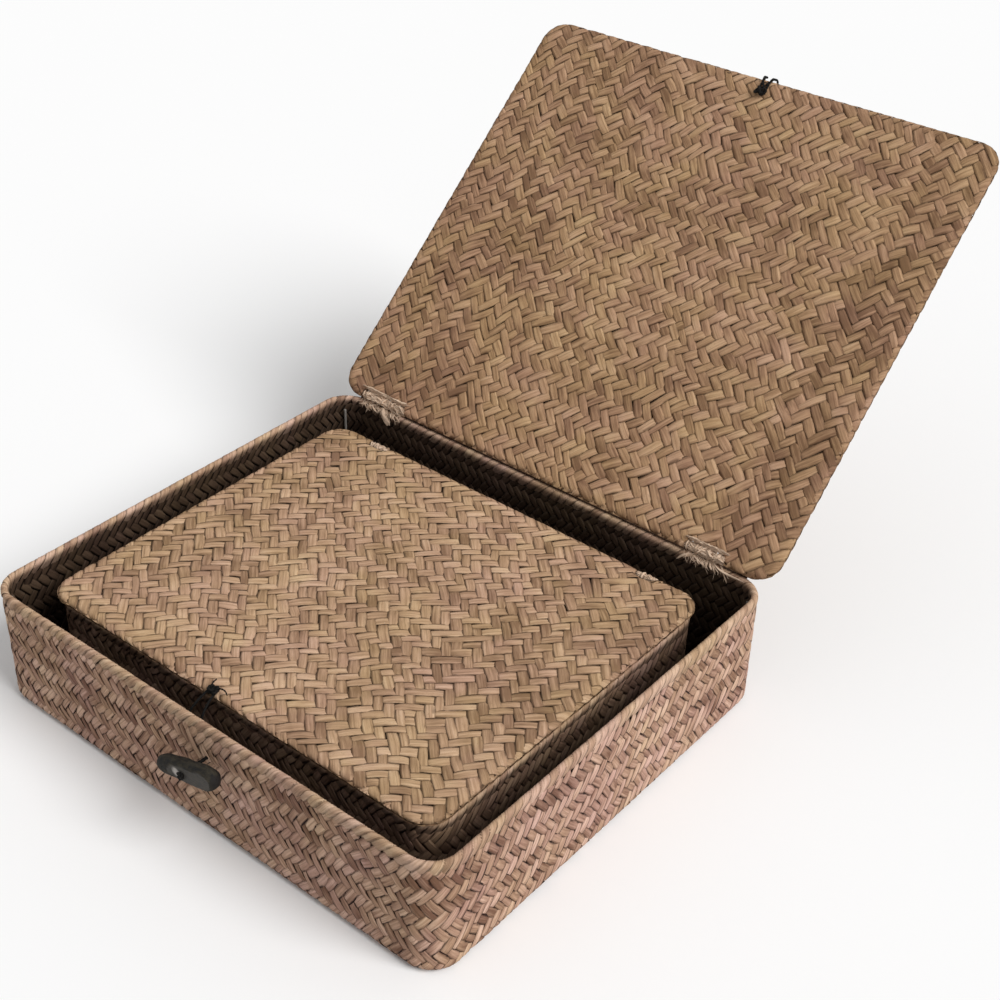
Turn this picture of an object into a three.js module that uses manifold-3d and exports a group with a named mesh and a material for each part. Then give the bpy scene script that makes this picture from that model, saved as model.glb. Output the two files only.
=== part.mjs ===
// Plaited grass box with a hinged lid, holding a smaller box of the same make.
// Millimetres, +Z up, front towards -Y. The origin is the middle of the outer box's underside.
import * as THREE from 'three';
import { mergeVertices } from 'three/addons/utils/BufferGeometryUtils.js';
import Module from 'manifold-3d';

const wasm = await Module();
wasm.setup();

// Outer box, measured over its plaited skin
const boxWidth = 338;
const boxDepth = 291;
const boxHeight = 77;
const boxCorner = 19;
const bottomEdge = 5;

// Room between the two boxes, and where the inner one happens to stand
const nestSideGap = 20.6;
const nestEndGap = 24.8;
const nestShiftX = -1.3;
const nestShiftY = -2.7;
const nestLidDrop = 4.6;
const nestCorner = 17;

// Plaited layers, their seats and the folded rim
const skinThickness = 1.8;
const liningThickness = 1.8;
const seatGap = 0.3;
const wireDiameter = 1.6;
const wireChamfer = 0.48;
const rimFoldThickness = 0.8;
const rimCapThickness = 1.4;
const rimHeight = 9;
const rimRounding = 2.4;

// Lids
const lidThickness = 5.2;
const lidEdgeRounding = 2.5;
const lidCorner = 16;
const lidSideOverhang = 1;
const lidFrontOverhang = 2.9;
const lidRearOverhang = 2.5;
const lidFoldBand = 9;
const lidFoldThickness = 1.4;
const lidOpenAngle = THREE.MathUtils.degToRad(138.25);

// Hinge lashings: twine wound round the rear run of the lid wire
const twineDiameter = 1.9;
const windingPitch = 2.8;
const outerWindingLoops = 12;
const innerWindingLoops = 6;
const outerLashingLeftInset = 38;
const outerLashingRightInset = 50;
const innerLashingInset = 38.5;

// Toggles, each turning on a cord through the front wall
const toggleLength = 46;
const toggleDiameter = 13.4;
const toggleTaper = 0.12;
const toggleEndSquareness = 7;
const toggleFlatDepth = 2.8;
const toggleFlatStart = -12;
const toggleTilt = THREE.MathUtils.degToRad(15);
const tetherDiameter = 2.2;
const stopKnotDiameter = 5.2;
const stopKnotThickness = 4;
const outerToggleX = 12;
const outerToggleDrop = 21.2;
const outerToggleStandoff = 6.7;
const innerToggleX = -7;
const innerToggleDrop = 30.1;
const innerToggleStandoff = 1.6;

// Loops that pass over the toggles
const loopCordDiameter = 1.6;
const outerLoopX = 5;
const innerLoopX = -7;
const loopKnotWidth = 7.2;
const loopKnotDepth = 5.2;
const loopKnotHeight = 4;
const loopStrandSpread = 2.5;
const loopPivotReach = 2.5;
const outerLoopHalfWidths = [6.4, 9, 9.4, 6, 0];
const outerLoopDrops = [8, 19, 27, 33.6, 36];
const innerLoopHalfWidths = [4.4, 5.6, 6, 3.4, 0];
const innerLoopDrops = [3.4, 9, 17, 22.4, 23.8];

// Wire stays standing in the inside corners
const stayDiameter = 1.6;

// Facets
const cornerSteps = 3;
const edgeSteps = 2;
const wireSides = 8;
const twineSides = 6;
const twineStepsPerLoop = 12;
const notchSides = 20;
const knotSides = 10;
const knotRings = 8;
const toggleSides = 14;
const toggleProfileSteps = 14;
const knotStrandSteps = 14;
const outerLoopSteps = 22;
const innerLoopSteps = 30;

const wallThickness = skinThickness + seatGap + liningThickness;
const rimProud = rimFoldThickness + seatGap;
const windingOuterRadius = wireDiameter / 2 + seatGap + twineDiameter;
const hingeRise = windingOuterRadius + seatGap;
const lidHalf = lidThickness / 2;
const innerFloor = skinThickness + seatGap + liningThickness + seatGap;

const outerBox = {
  name: 'outer',
  width: boxWidth,
  depth: boxDepth,
  height: boxHeight,
  corner: boxCorner,
  lashingInsets: { left: outerLashingLeftInset, right: outerLashingRightInset },
  loops: outerWindingLoops,
  toggleX: outerToggleX,
  toggleDrop: outerToggleDrop,
  toggleStandoff: outerToggleStandoff,
};

const innerBox = {
  name: 'inner',
  width: boxWidth - 2 * (wallThickness + nestSideGap),
  depth: boxDepth - 2 * (wallThickness + nestEndGap),
  height: boxHeight - nestLidDrop - lidHalf - hingeRise - innerFloor,
  corner: nestCorner,
  lashingInsets: { left: innerLashingInset, right: innerLashingInset },
  loops: innerWindingLoops,
  toggleX: innerToggleX,
  toggleDrop: innerToggleDrop,
  toggleStandoff: innerToggleStandoff,
};

const material = (color, roughness, metalness = 0) =>
  () => new THREE.MeshStandardMaterial({ color, roughness, metalness });
const plaitMaterial = material('#a2836a', 0.8);
const rimMaterial = material('#b79a82', 0.78);
const twineMaterial = material('#c4a888', 0.9);
const cordMaterial = material('#171310', 0.7);
const barkMaterial = material('#3d322b', 0.55);
const wireMaterial = material('#8c8680', 0.45, 0.9);

function addPiece(group, name, geometry, makeMaterial) {
  const mesh = new THREE.Mesh(geometry, makeMaterial());
  mesh.name = name;
  group.add(mesh);
  return mesh;
}

// Closed triangle mesh with shared vertices, ready for cutting and joining
function toSolid(geometry) {
  const bare = geometry.clone();
  bare.deleteAttribute('normal');
  bare.deleteAttribute('uv');
  const merged = mergeVertices(bare, 1e-4);
  const corners = merged.index.array;
  const kept = [];
  for (let i = 0; i < corners.length; i += 3) {
    const [a, b, c] = corners.slice(i, i + 3);
    if (a !== b && b !== c && c !== a) kept.push(a, b, c);
  }
  const vertProperties = new Float32Array(merged.attributes.position.array);
  return new wasm.Manifold(new wasm.Mesh({ numProp: 3, vertProperties, triVerts: new Uint32Array(kept) }));
}

function toGeometry(solid) {
  const mesh = solid.getMesh();
  const geometry = new THREE.BufferGeometry();
  geometry.setAttribute('position', new THREE.BufferAttribute(new Float32Array(mesh.vertProperties), 3));
  geometry.setIndex(new THREE.BufferAttribute(new Uint32Array(mesh.triVerts), 1));
  geometry.computeVertexNormals();
  return geometry;
}

function traceRoundedRectangle(path, width, depth, radius) {
  const x = width / 2 - radius;
  const y = depth / 2 - radius;
  path.absarc(x, y, radius, 0, Math.PI / 2);
  path.absarc(-x, y, radius, Math.PI / 2, Math.PI);
  path.absarc(-x, -y, radius, Math.PI, 1.5 * Math.PI);
  path.absarc(x, -y, radius, 1.5 * Math.PI, 2 * Math.PI);
  return path;
}

// Rounded rectangle from low to high, with its upper and lower edges rounded off
function plate(width, depth, corner, low, high, rounding = 0) {
  const outline = traceRoundedRectangle(
    new THREE.Shape(), width - 2 * rounding, depth - 2 * rounding, corner - rounding);
  const geometry = new THREE.ExtrudeGeometry(outline, {
    depth: high - low - 2 * rounding,
    curveSegments: cornerSteps,
    bevelEnabled: rounding > 0,
    bevelSize: rounding,
    bevelThickness: rounding,
    bevelSegments: edgeSteps,
  });
  return geometry.translate(0, 0, low + rounding);
}

// Band of even width that follows a rounded rectangle
function ring(width, depth, corner, band, low, high, rounding = 0, roundingSteps = edgeSteps) {
  const outline = traceRoundedRectangle(
    new THREE.Shape(), width - 2 * rounding, depth - 2 * rounding, corner - rounding);
  const inset = 2 * (band - rounding);
  outline.holes.push(traceRoundedRectangle(
    new THREE.Path(), width - inset, depth - inset, corner - band + rounding));
  const geometry = new THREE.ExtrudeGeometry(outline, {
    depth: high - low - 2 * rounding,
    curveSegments: cornerSteps,
    bevelEnabled: rounding > 0,
    bevelSize: rounding,
    bevelThickness: rounding,
    bevelSegments: roundingSteps,
  });
  return geometry.translate(0, 0, low + rounding);
}

function rodAlongX(length, diameter, sides) {
  return new THREE.CylinderGeometry(diameter / 2, diameter / 2, length, sides).rotateZ(Math.PI / 2);
}

function rodAlongY(length, diameter, sides) {
  return new THREE.CylinderGeometry(diameter / 2, diameter / 2, length, sides);
}

function tubeAlong(curve, diameter, sides, steps) {
  const section = new THREE.Shape().absarc(0, 0, diameter / 2, 0, 2 * Math.PI);
  return new THREE.ExtrudeGeometry(section, { extrudePath: curve, steps, curveSegments: sides / 2 });
}

function knot(width, depth, height) {
  return new THREE.SphereGeometry(0.5, knotSides, knotRings).scale(width, depth, height);
}

// Plaited tub: floor and walls in one piece, open above
function tub(width, depth, corner, low, high, thickness, rounding) {
  const spare = rounding + thickness;
  const outside = toSolid(plate(width, depth, corner, low, high + spare, rounding));
  const inside = toSolid(plate(
    width - 2 * thickness, depth - 2 * thickness, corner - thickness,
    low + thickness, high + 2 * spare, rounding - thickness));
  const above = toSolid(plate(2 * width, 2 * depth, corner, high, high + 3 * spare));
  return outside.subtract(inside).subtract(above);
}

function makeSkin(box, wallTop, tetherHole) {
  const skin = tub(box.width, box.depth, box.corner, 0, wallTop, skinThickness, bottomEdge);
  return toGeometry(skin.subtract(tetherHole));
}

function makeLining(box, wallTop, tetherHole) {
  const step = skinThickness + seatGap;
  const lining = tub(
    box.width - 2 * step, box.depth - 2 * step, box.corner - step,
    step, wallTop, liningThickness, bottomEdge - step);
  return toGeometry(lining.subtract(tetherHole));
}

// Folded rim: a channel turned down over both layers, with the rim wire under its crown
function makeRimFold(box) {
  const band = wallThickness + 2 * rimProud;
  const fold = toSolid(ring(
    box.width + 2 * rimProud, box.depth + 2 * rimProud, box.corner + rimProud, band,
    box.height - rimHeight, box.height, rimRounding));
  const slot = toSolid(ring(
    box.width + 2 * seatGap, box.depth + 2 * seatGap, box.corner + seatGap, wallThickness + 2 * seatGap,
    box.height - 2 * rimHeight, box.height - rimCapThickness));
  return toGeometry(fold.subtract(slot));
}

function wireRing(width, depth, corner, inset, middle) {
  const half = wireDiameter / 2;
  const outer = inset - half;
  return ring(
    width - 2 * outer, depth - 2 * outer, corner - outer, wireDiameter,
    middle - half, middle + half, wireChamfer, 1);
}

function makeStay(low, high) {
  const stay = new THREE.CylinderGeometry(stayDiameter / 2, stayDiameter / 2, high - low, wireSides);
  return stay.rotateX(Math.PI / 2).translate(0, 0, (low + high) / 2);
}

// Twine winding about the X axis; both ends leave square to the rim below, one to each side
class Winding extends THREE.Curve {
  constructor(loops) {
    super();
    this.loops = loops;
    this.radius = windingOuterRadius - twineDiameter / 2;
    this.lead = twineDiameter;
    this.turned = loops * Math.hypot(2 * Math.PI * this.radius, windingPitch);
  }

  getPoint(t, target = new THREE.Vector3()) {
    const along = t * (this.turned + 2 * this.lead) - this.lead;
    const held = THREE.MathUtils.clamp(along, 0, this.turned);
    const angle = 2 * Math.PI * this.loops * (held / this.turned);
    const x = windingPitch * this.loops * (held / this.turned - 0.5);
    return target.set(x, -this.radius * Math.sin(angle) - (along - held), -this.radius * Math.cos(angle));
  }
}

// Least clear distance between points of the twine that lie half a loop or more apart
function leastOwnGap(curve, steps) {
  const points = curve.getSpacedPoints(steps);
  const apart = Math.ceil(twineStepsPerLoop / 2);
  let least = Infinity;
  for (let i = 0; i < points.length; i += 1) {
    for (let j = i + apart; j < points.length; j += 1) {
      least = Math.min(least, points[i].distanceTo(points[j]) - twineDiameter);
    }
  }
  return least;
}

function makeLashing(box, side) {
  const curve = new Winding(box.loops);
  const steps = box.loops * twineStepsPerLoop + 2;
  console.log(`${box.name} ${side} lashing, least gap to itself ${leastOwnGap(curve, steps).toFixed(2)} mm`);
  return tubeAlong(curve, twineDiameter, twineSides, steps);
}

// Whittled stick, thicker at its right end, with a flat shaved on its front and a hole across it
function makeToggleBar() {
  const profile = [];
  for (let i = 0; i <= toggleProfileSteps; i += 1) {
    const u = -Math.cos(Math.PI * i / toggleProfileSteps);
    const fullness = Math.sqrt(Math.max(0, 1 - Math.abs(u) ** toggleEndSquareness));
    const radius = toggleDiameter / 2 * (1 - toggleTaper * (1 - u)) * fullness;
    profile.push(new THREE.Vector2(radius, u * toggleLength / 2));
  }
  const stick = toSolid(new THREE.LatheGeometry(profile, toggleSides).rotateZ(-Math.PI / 2));
  const flat = new THREE.BoxGeometry(toggleLength, toggleDiameter, toggleDiameter);
  flat.translate(toggleFlatStart + toggleLength / 2, -toggleDiameter + toggleFlatDepth, 0);
  const hole = rodAlongY(2 * toggleDiameter, tetherDiameter + 2 * seatGap, wireSides);
  return toGeometry(stick.subtract(toSolid(flat)).subtract(toSolid(hole)));
}

// Cord of the toggle: knotted inside the wall, through both layers and the stick, knotted in front
function addToggle(group, box) {
  const z = box.height - box.toggleDrop;
  const front = -box.depth / 2;
  const inside = front + wallThickness;
  const stick = front - box.toggleStandoff - toggleDiameter / 2;
  const stickFront = stick - toggleDiameter / 2 + toggleFlatDepth;
  const cordBack = inside + seatGap;
  const cord = rodAlongY(cordBack - stickFront, tetherDiameter, wireSides);
  cord.translate(box.toggleX, (cordBack + stickFront) / 2, z);
  addPiece(group, `${box.name}_toggle_tether`, cord, cordMaterial);
  const knotStep = seatGap + stopKnotThickness / 2;
  const inner = knot(stopKnotDiameter, stopKnotThickness, stopKnotDiameter);
  addPiece(group, `${box.name}_toggle_inner_knot`, inner, cordMaterial)
    .position.set(box.toggleX, cordBack + knotStep, z);
  const outer = knot(stopKnotDiameter, stopKnotThickness, stopKnotDiameter);
  addPiece(group, `${box.name}_toggle_front_knot`, outer, cordMaterial)
    .position.set(box.toggleX, stickFront - knotStep, z);
  const bar = addPiece(group, `${box.name}_toggle_bar`, makeToggleBar(), barkMaterial);
  bar.position.set(box.toggleX, stick, z);
  bar.rotation.y = -toggleTilt;
}

function addBody(group, box) {
  const wallTop = box.height - rimCapThickness - wireDiameter - 2 * seatGap;
  const toggleZ = box.height - box.toggleDrop;
  const hole = rodAlongY(4 * wallThickness, tetherDiameter + 2 * seatGap, wireSides);
  hole.translate(box.toggleX, -box.depth / 2, toggleZ);
  const tetherHole = toSolid(hole);
  addPiece(group, `${box.name}_skin`, makeSkin(box, wallTop, tetherHole), plaitMaterial);
  addPiece(group, `${box.name}_lining`, makeLining(box, wallTop, tetherHole), plaitMaterial);
  addPiece(group, `${box.name}_rim_fold`, makeRimFold(box), rimMaterial);
  const wireMiddle = box.height - rimCapThickness - seatGap - wireDiameter / 2;
  const rimWire = wireRing(box.width, box.depth, box.corner, wallThickness / 2, wireMiddle);
  addPiece(group, `${box.name}_rim_wire`, rimWire, wireMaterial);
  const stayStep = (box.corner - wallThickness - seatGap - stayDiameter / 2) * Math.SQRT1_2;
  const stayLow = skinThickness + 2 * seatGap + liningThickness + bottomEdge;
  const stayHigh = box.height - rimHeight - seatGap;
  for (const [end, y] of [['front', -1], ['rear', 1]]) {
    for (const [side, x] of [['left', -1], ['right', 1]]) {
      const stay = addPiece(group, `${box.name}_stay_${end}_${side}`, makeStay(stayLow, stayHigh), wireMaterial);
      stay.position.x = x * (box.width / 2 - box.corner + stayStep);
      stay.position.y = y * (box.depth / 2 - box.corner + stayStep);
    }
  }
  for (const [side, x] of lashingPlaces(box)) {
    const lashing = addPiece(group, `${box.name}_hinge_lashing_${side}`, makeLashing(box, side), twineMaterial);
    lashing.position.set(x, hingeY(box), box.height + hingeRise);
  }
  addToggle(group, box);
}

function lashingPlaces(box) {
  const { left, right } = box.lashingInsets;
  return [['left', left - box.width / 2], ['right', box.width / 2 - right]];
}

function hingeY(box) {
  return box.depth / 2 + lidRearOverhang - lidHalf;
}

// Lid in its own frame: closed, with the origin on the hinge wire
function addLid(group, box, foldCut) {
  const width = box.width + 2 * lidSideOverhang;
  const depth = box.depth + lidFrontOverhang + lidRearOverhang;
  const middle = lidHalf - depth / 2;
  const matInset = 2 * (lidFoldBand + seatGap);
  const matCorner = lidCorner - lidFoldBand - seatGap;
  const halfGap = seatGap / 2;
  const topMat = plate(width - matInset, depth - matInset, matCorner, halfGap, lidHalf);
  addPiece(group, `${box.name}_lid_top_mat`, topMat.translate(0, middle, 0), plaitMaterial);
  const liningMat = plate(width - matInset, depth - matInset, matCorner, -lidHalf, -halfGap);
  addPiece(group, `${box.name}_lid_lining_mat`, liningMat.translate(0, middle, 0), plaitMaterial);

  // The edge fold is a channel open inwards, so that the lid wire lies in it
  const slotHalf = wireDiameter / 2 + seatGap;
  const slotInset = 2 * lidFoldThickness;
  let fold = toSolid(plate(width, depth, lidCorner, -lidHalf, lidHalf, lidEdgeRounding));
  fold = fold.subtract(toSolid(plate(
    width - 2 * lidFoldBand, depth - 2 * lidFoldBand, lidCorner - lidFoldBand, -lidThickness, lidThickness)));
  fold = fold.subtract(toSolid(plate(
    width - slotInset, depth - slotInset, lidCorner - lidFoldThickness, -slotHalf, slotHalf)));
  fold = fold.translate([0, middle, 0]);
  const notchLength = box.loops * windingPitch + twineDiameter + 4 * seatGap;
  const notchRadius = Math.hypot(windingOuterRadius - twineDiameter / 2, twineDiameter) + twineDiameter / 2 + seatGap;
  for (const [, x] of lashingPlaces(box)) {
    fold = fold.subtract(toSolid(rodAlongX(notchLength, 2 * notchRadius, notchSides).translate(x, 0, 0)));
  }
  if (foldCut) fold = fold.subtract(foldCut);
  addPiece(group, `${box.name}_lid_edge_fold`, toGeometry(fold), rimMaterial);
  const wire = wireRing(width, depth, lidCorner, lidHalf, 0);
  addPiece(group, `${box.name}_lid_wire`, wire.translate(0, middle, 0), wireMaterial);
}

function lidFront(box) {
  return lidHalf - (box.depth + lidFrontOverhang + lidRearOverhang);
}

// Mirrored strands of a cord, from points on its right half: x outwards, y and z as in the lid's frame
function mirrored(points) {
  const left = points.map(([x, y, z]) => new THREE.Vector3(-x, y, z));
  const right = points.slice(0, -1).map(([x, y, z]) => new THREE.Vector3(x, y, z));
  return new THREE.CatmullRomCurve3([...left, ...right.reverse()], false, 'centripetal');
}

// Knot under the outer lid, and its two strands over the front edge to the loop's pivot
function addOuterLoopKnot(group, box) {
  const front = lidFront(box);
  const knotInset = lidFrontOverhang + wallThickness + rimProud + seatGap + loopKnotDepth / 2;
  const knotZ = -lidHalf - seatGap - loopKnotHeight / 2;
  const sunkZ = -lidHalf + loopCordDiameter / 2 - seatGap;
  let tied = toSolid(knot(loopKnotWidth, loopKnotDepth, loopKnotHeight).translate(0, front + knotInset, knotZ));
  for (const x of [-loopStrandSpread, loopStrandSpread]) {
    const strand = new THREE.CatmullRomCurve3([
      new THREE.Vector3(x * 0.6, front + knotInset, knotZ),
      new THREE.Vector3(x * 0.8, front + lidFoldBand + 0.5, knotZ + 0.9),
      new THREE.Vector3(x, front + lidFoldBand - 1.4, sunkZ - 0.2),
      new THREE.Vector3(x, front + lidFoldBand / 2, sunkZ),
      new THREE.Vector3(x, front + 0.8, sunkZ),
      new THREE.Vector3(x, front - loopPivotReach * 0.6, sunkZ * 0.6),
      new THREE.Vector3(x, front - loopPivotReach, 0),
    ], false, 'centripetal');
    tied = tied.add(toSolid(tubeAlong(strand, loopCordDiameter, wireSides, knotStrandSteps)));
  }
  addPiece(group, `${box.name}_loop_knot`, toGeometry(tied), cordMaterial).position.x = outerLoopX;
}

// Groove under the front edge fold where the two strands lie
function outerStrandGroove(box) {
  const width = 2 * (loopStrandSpread + loopCordDiameter / 2 + seatGap);
  const height = lidFoldThickness + seatGap;
  const groove = new THREE.BoxGeometry(width, 3 * lidFoldBand, 2 * height);
  return toSolid(groove.translate(outerLoopX, lidFront(box), -lidHalf));
}

// Loop of the outer lid, hanging straight down from its pivot, its strands outside those of the knot
function makeOuterLoop() {
  const hung = outerLoopHalfWidths.map((halfWidth, i) => [halfWidth, 0, -outerLoopDrops[i]]);
  const strand = [[loopStrandSpread + loopCordDiameter + 2 * seatGap, 0, 0], ...hung];
  return tubeAlong(mirrored(strand), loopCordDiameter, wireSides, outerLoopSteps);
}

// Loop of the inner lid: tied on top, over the front edge and down in front of the toggle
function addInnerLoop(group, box) {
  const front = lidFront(box);
  const knotY = front + 1.5 * loopKnotDepth / 2;
  const knotZ = lidHalf + seatGap + loopKnotHeight / 2;
  const body = knot(loopKnotWidth, loopKnotDepth, loopKnotHeight).translate(0, knotY, knotZ);
  addPiece(group, `${box.name}_loop_knot`, body, cordMaterial).position.x = innerLoopX;
  const reach = innerToggleStandoff + toggleDiameter + 2 * seatGap + loopCordDiameter / 2 - lidFrontOverhang;
  const outY = front - reach;
  const cordZ = lidHalf + seatGap + loopCordDiameter / 2;
  const hung = innerLoopHalfWidths.map((halfWidth, i) => [halfWidth, outY, -innerLoopDrops[i]]);
  hung[0][1] += 1.5 * loopCordDiameter;
  const strand = [
    [loopStrandSpread - seatGap, knotY - loopKnotDepth / 2 - loopCordDiameter / 2, cordZ],
    [loopStrandSpread, front - loopCordDiameter / 2, cordZ - seatGap],
    [loopStrandSpread + 2 * seatGap, (front + outY) / 2 + loopCordDiameter, lidHalf / 2],
    ...hung,
  ];
  const cord = tubeAlong(mirrored(strand), loopCordDiameter, wireSides, innerLoopSteps);
  addPiece(group, `${box.name}_loop_cord`, cord, cordMaterial).position.x = innerLoopX;
}

const part = new THREE.Group();

const outerBody = new THREE.Group();
addBody(outerBody, outerBox);
part.add(outerBody);

const outerLid = new THREE.Group();
addLid(outerLid, outerBox, outerStrandGroove(outerBox));
addOuterLoopKnot(outerLid, outerBox);
outerLid.position.set(0, hingeY(outerBox), boxHeight + hingeRise);
outerLid.rotation.x = -lidOpenAngle;
part.add(outerLid);

// The outer loop hangs from the raised front edge of the open lid
const loopArm = loopPivotReach - lidFront(outerBox);
const outerLoop = addPiece(part, 'outer_loop_cord', makeOuterLoop(), cordMaterial);
outerLoop.position.set(
  outerLoopX,
  outerLid.position.y - loopArm * Math.cos(lidOpenAngle),
  outerLid.position.z + loopArm * Math.sin(lidOpenAngle));

const innerBody = new THREE.Group();
addBody(innerBody, innerBox);
innerBody.position.set(nestShiftX, nestShiftY, innerFloor);
part.add(innerBody);

const innerLid = new THREE.Group();
addLid(innerLid, innerBox);
addInnerLoop(innerLid, innerBox);
innerLid.position.set(0, hingeY(innerBox), innerBox.height + hingeRise);
innerBody.add(innerLid);

export default part;
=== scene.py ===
import math

import bpy
import numpy as np
from mathutils import Matrix, Vector


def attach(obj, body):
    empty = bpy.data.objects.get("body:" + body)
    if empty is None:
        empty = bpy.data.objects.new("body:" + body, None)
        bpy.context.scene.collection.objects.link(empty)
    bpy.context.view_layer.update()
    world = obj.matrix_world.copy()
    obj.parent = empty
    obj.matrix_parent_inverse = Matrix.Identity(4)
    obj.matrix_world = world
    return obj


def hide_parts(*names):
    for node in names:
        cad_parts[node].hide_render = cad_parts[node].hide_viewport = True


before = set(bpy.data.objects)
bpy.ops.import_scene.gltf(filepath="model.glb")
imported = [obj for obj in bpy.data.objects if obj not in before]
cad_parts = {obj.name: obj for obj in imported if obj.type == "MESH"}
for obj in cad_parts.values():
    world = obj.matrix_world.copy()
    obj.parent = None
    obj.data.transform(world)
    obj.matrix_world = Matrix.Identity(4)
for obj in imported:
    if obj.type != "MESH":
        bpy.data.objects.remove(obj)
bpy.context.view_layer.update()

# Camera
# It stands in front and to the right, above the rim, and looks down into the open box.
# Its place and angle of view come from the straight edges of both boxes and of the open lid.
camera_place = Vector((0.5247, -0.5513, 0.6583))
camera_right = Vector((0.7716, 0.6357, 0.0225)).normalized()
camera_forward = Vector((-0.5147, 0.6447, -0.5653)).normalized()
camera_up = camera_right.cross(camera_forward)
camera_data = bpy.data.cameras.new("camera")
camera_data.sensor_width = 36
camera_data.lens = 60.34
camera_data.clip_start = 0.01
camera = bpy.data.objects.new("camera", camera_data)
camera_axes = Matrix((camera_right, camera_up, -camera_forward)).transposed()
camera.matrix_world = Matrix.Translation(camera_place) @ camera_axes.to_4x4()
bpy.context.collection.objects.link(camera)
bpy.context.scene.camera = camera
bpy.context.scene.view_settings.view_transform = "Standard"

# Floor and light
# A plain white board under an even white sky, with one soft lamp high on the right, so that the front
# wall is the darkest face and the right wall and the tops are the palest.
sky_level = 0.46
lamp_level = 0.80
lamp_from = Vector((0.727, 0.067, 0.683))
lamp_spread = math.radians(34)
floor_half = 6.0
floor_level = -0.0004
floor_shed = (0.55, 0.55, 0.55)
floor_seen = (0.97, 0.97, 0.97)


def set_inputs(tree, node, values):
    """Link or set a node's inputs; a plain colour is given as three values."""
    for key, value in values.items():
        entry = node.inputs[key]
        if isinstance(value, bpy.types.NodeSocket):
            tree.links.new(value, entry)
        else:
            entry.default_value = (*value, 1) if entry.type == "RGBA" else value


def add_node(tree, kind, values=None, **settings):
    made = tree.nodes.new(kind)
    for name, value in settings.items():
        setattr(made, name, value)
    set_inputs(tree, made, values or {})
    return made


def math_node(tree, operation, *values):
    return add_node(tree, "ShaderNodeMath", dict(enumerate(values)), operation=operation).outputs[0]


def map_range(tree, value, start=0.0, end=1.0, low=0.0, high=1.0):
    """Goes from low to high while the value goes from start to end."""
    ends = {"From Min": start, "From Max": end, "To Min": low, "To Max": high}
    return add_node(tree, "ShaderNodeMapRange", {"Value": value, **ends}).outputs[0]


def mix_colours(tree, factor, first, second, **settings):
    values = {"Factor": factor, "A": first, "B": second}
    return add_node(tree, "ShaderNodeMix", values, data_type="RGBA", **settings).outputs["Result"]


def seen_at_all(tree):
    """One for what is seen, straight or in a shine, and zero for the light shed on other things."""
    rays = add_node(tree, "ShaderNodeLightPath").outputs
    seen = math_node(tree, "MAXIMUM", rays["Is Camera Ray"], rays["Is Glossy Ray"])
    return math_node(tree, "MAXIMUM", seen, rays["Is Transmission Ray"])


def start_material(name):
    """New material, with its node tree and its shader."""
    material = bpy.data.materials.new(name)
    material.use_nodes = True
    return material, material.node_tree, material.node_tree.nodes["Principled BSDF"]


sky = bpy.data.worlds.new("sky")
sky.use_nodes = True
sky_tree = sky.node_tree
sky_tree.nodes.clear()
sky_strength = map_range(sky_tree, seen_at_all(sky_tree), low=sky_level)
sky_shader = add_node(sky_tree, "ShaderNodeBackground", {"Color": (1, 1, 1), "Strength": sky_strength})
add_node(sky_tree, "ShaderNodeOutputWorld", {"Surface": sky_shader.outputs[0]})
bpy.context.scene.world = sky

lamp_data = bpy.data.lights.new("lamp", "SUN")
lamp_data.energy = lamp_level * math.pi
lamp_data.angle = lamp_spread
lamp = bpy.data.objects.new("lamp", lamp_data)
lamp.rotation_euler = lamp_from.to_track_quat("Z", "Y").to_euler()
bpy.context.collection.objects.link(lamp)

floor_mesh = bpy.data.meshes.new("floor")
floor_corners = ((-1, -1), (1, -1), (1, 1), (-1, 1))
floor_mesh.from_pydata(
    [(x * floor_half, y * floor_half, floor_level) for x, y in floor_corners], [], [(0, 1, 2, 3)])
floor = bpy.data.objects.new("floor", floor_mesh)
bpy.context.collection.objects.link(floor)
white_board, floor_tree, floor_shader = start_material("white_board")
floor_tone = mix_colours(floor_tree, seen_at_all(floor_tree), floor_shed, floor_seen)
set_inputs(floor_tree, floor_shader, {
    "Base Color": floor_tone, "Roughness": 1.0, "Specular IOR Level": 0.0})
floor_mesh.materials.append(white_board)

# Black loops
# Each lid has a loop of thin black waxed cord that drops over the toggle: the outer one hangs from the
# raised front edge of the open lid, the inner one is tied on top of its lid and hangs over the edge.
hinges = {"outer": Vector((0, 0.1454, 0.0803)), "inner": Vector((-0.0013, 0.1140, 0.0698))}
lid_open = math.radians(138.25)
lid_places = {
    "outer": Matrix.Translation(hinges["outer"]) @ Matrix.Rotation(-lid_open, 4, "X"),
    "inner": Matrix.Translation(hinges["inner"]),
}
lid_fronts = {"outer": -0.2938, "inner": -0.2364}
loop_diameter = 0.0016
loop_lay = 0.004
outer_loop_x = 0.005
outer_loop_gap = 0.0025
inner_loop_x = -0.007


def walked(path):
    """Distance along a path to each of its places."""
    return np.concatenate([[0], np.cumsum(np.linalg.norm(np.diff(path, axis=0), axis=1))])


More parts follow.
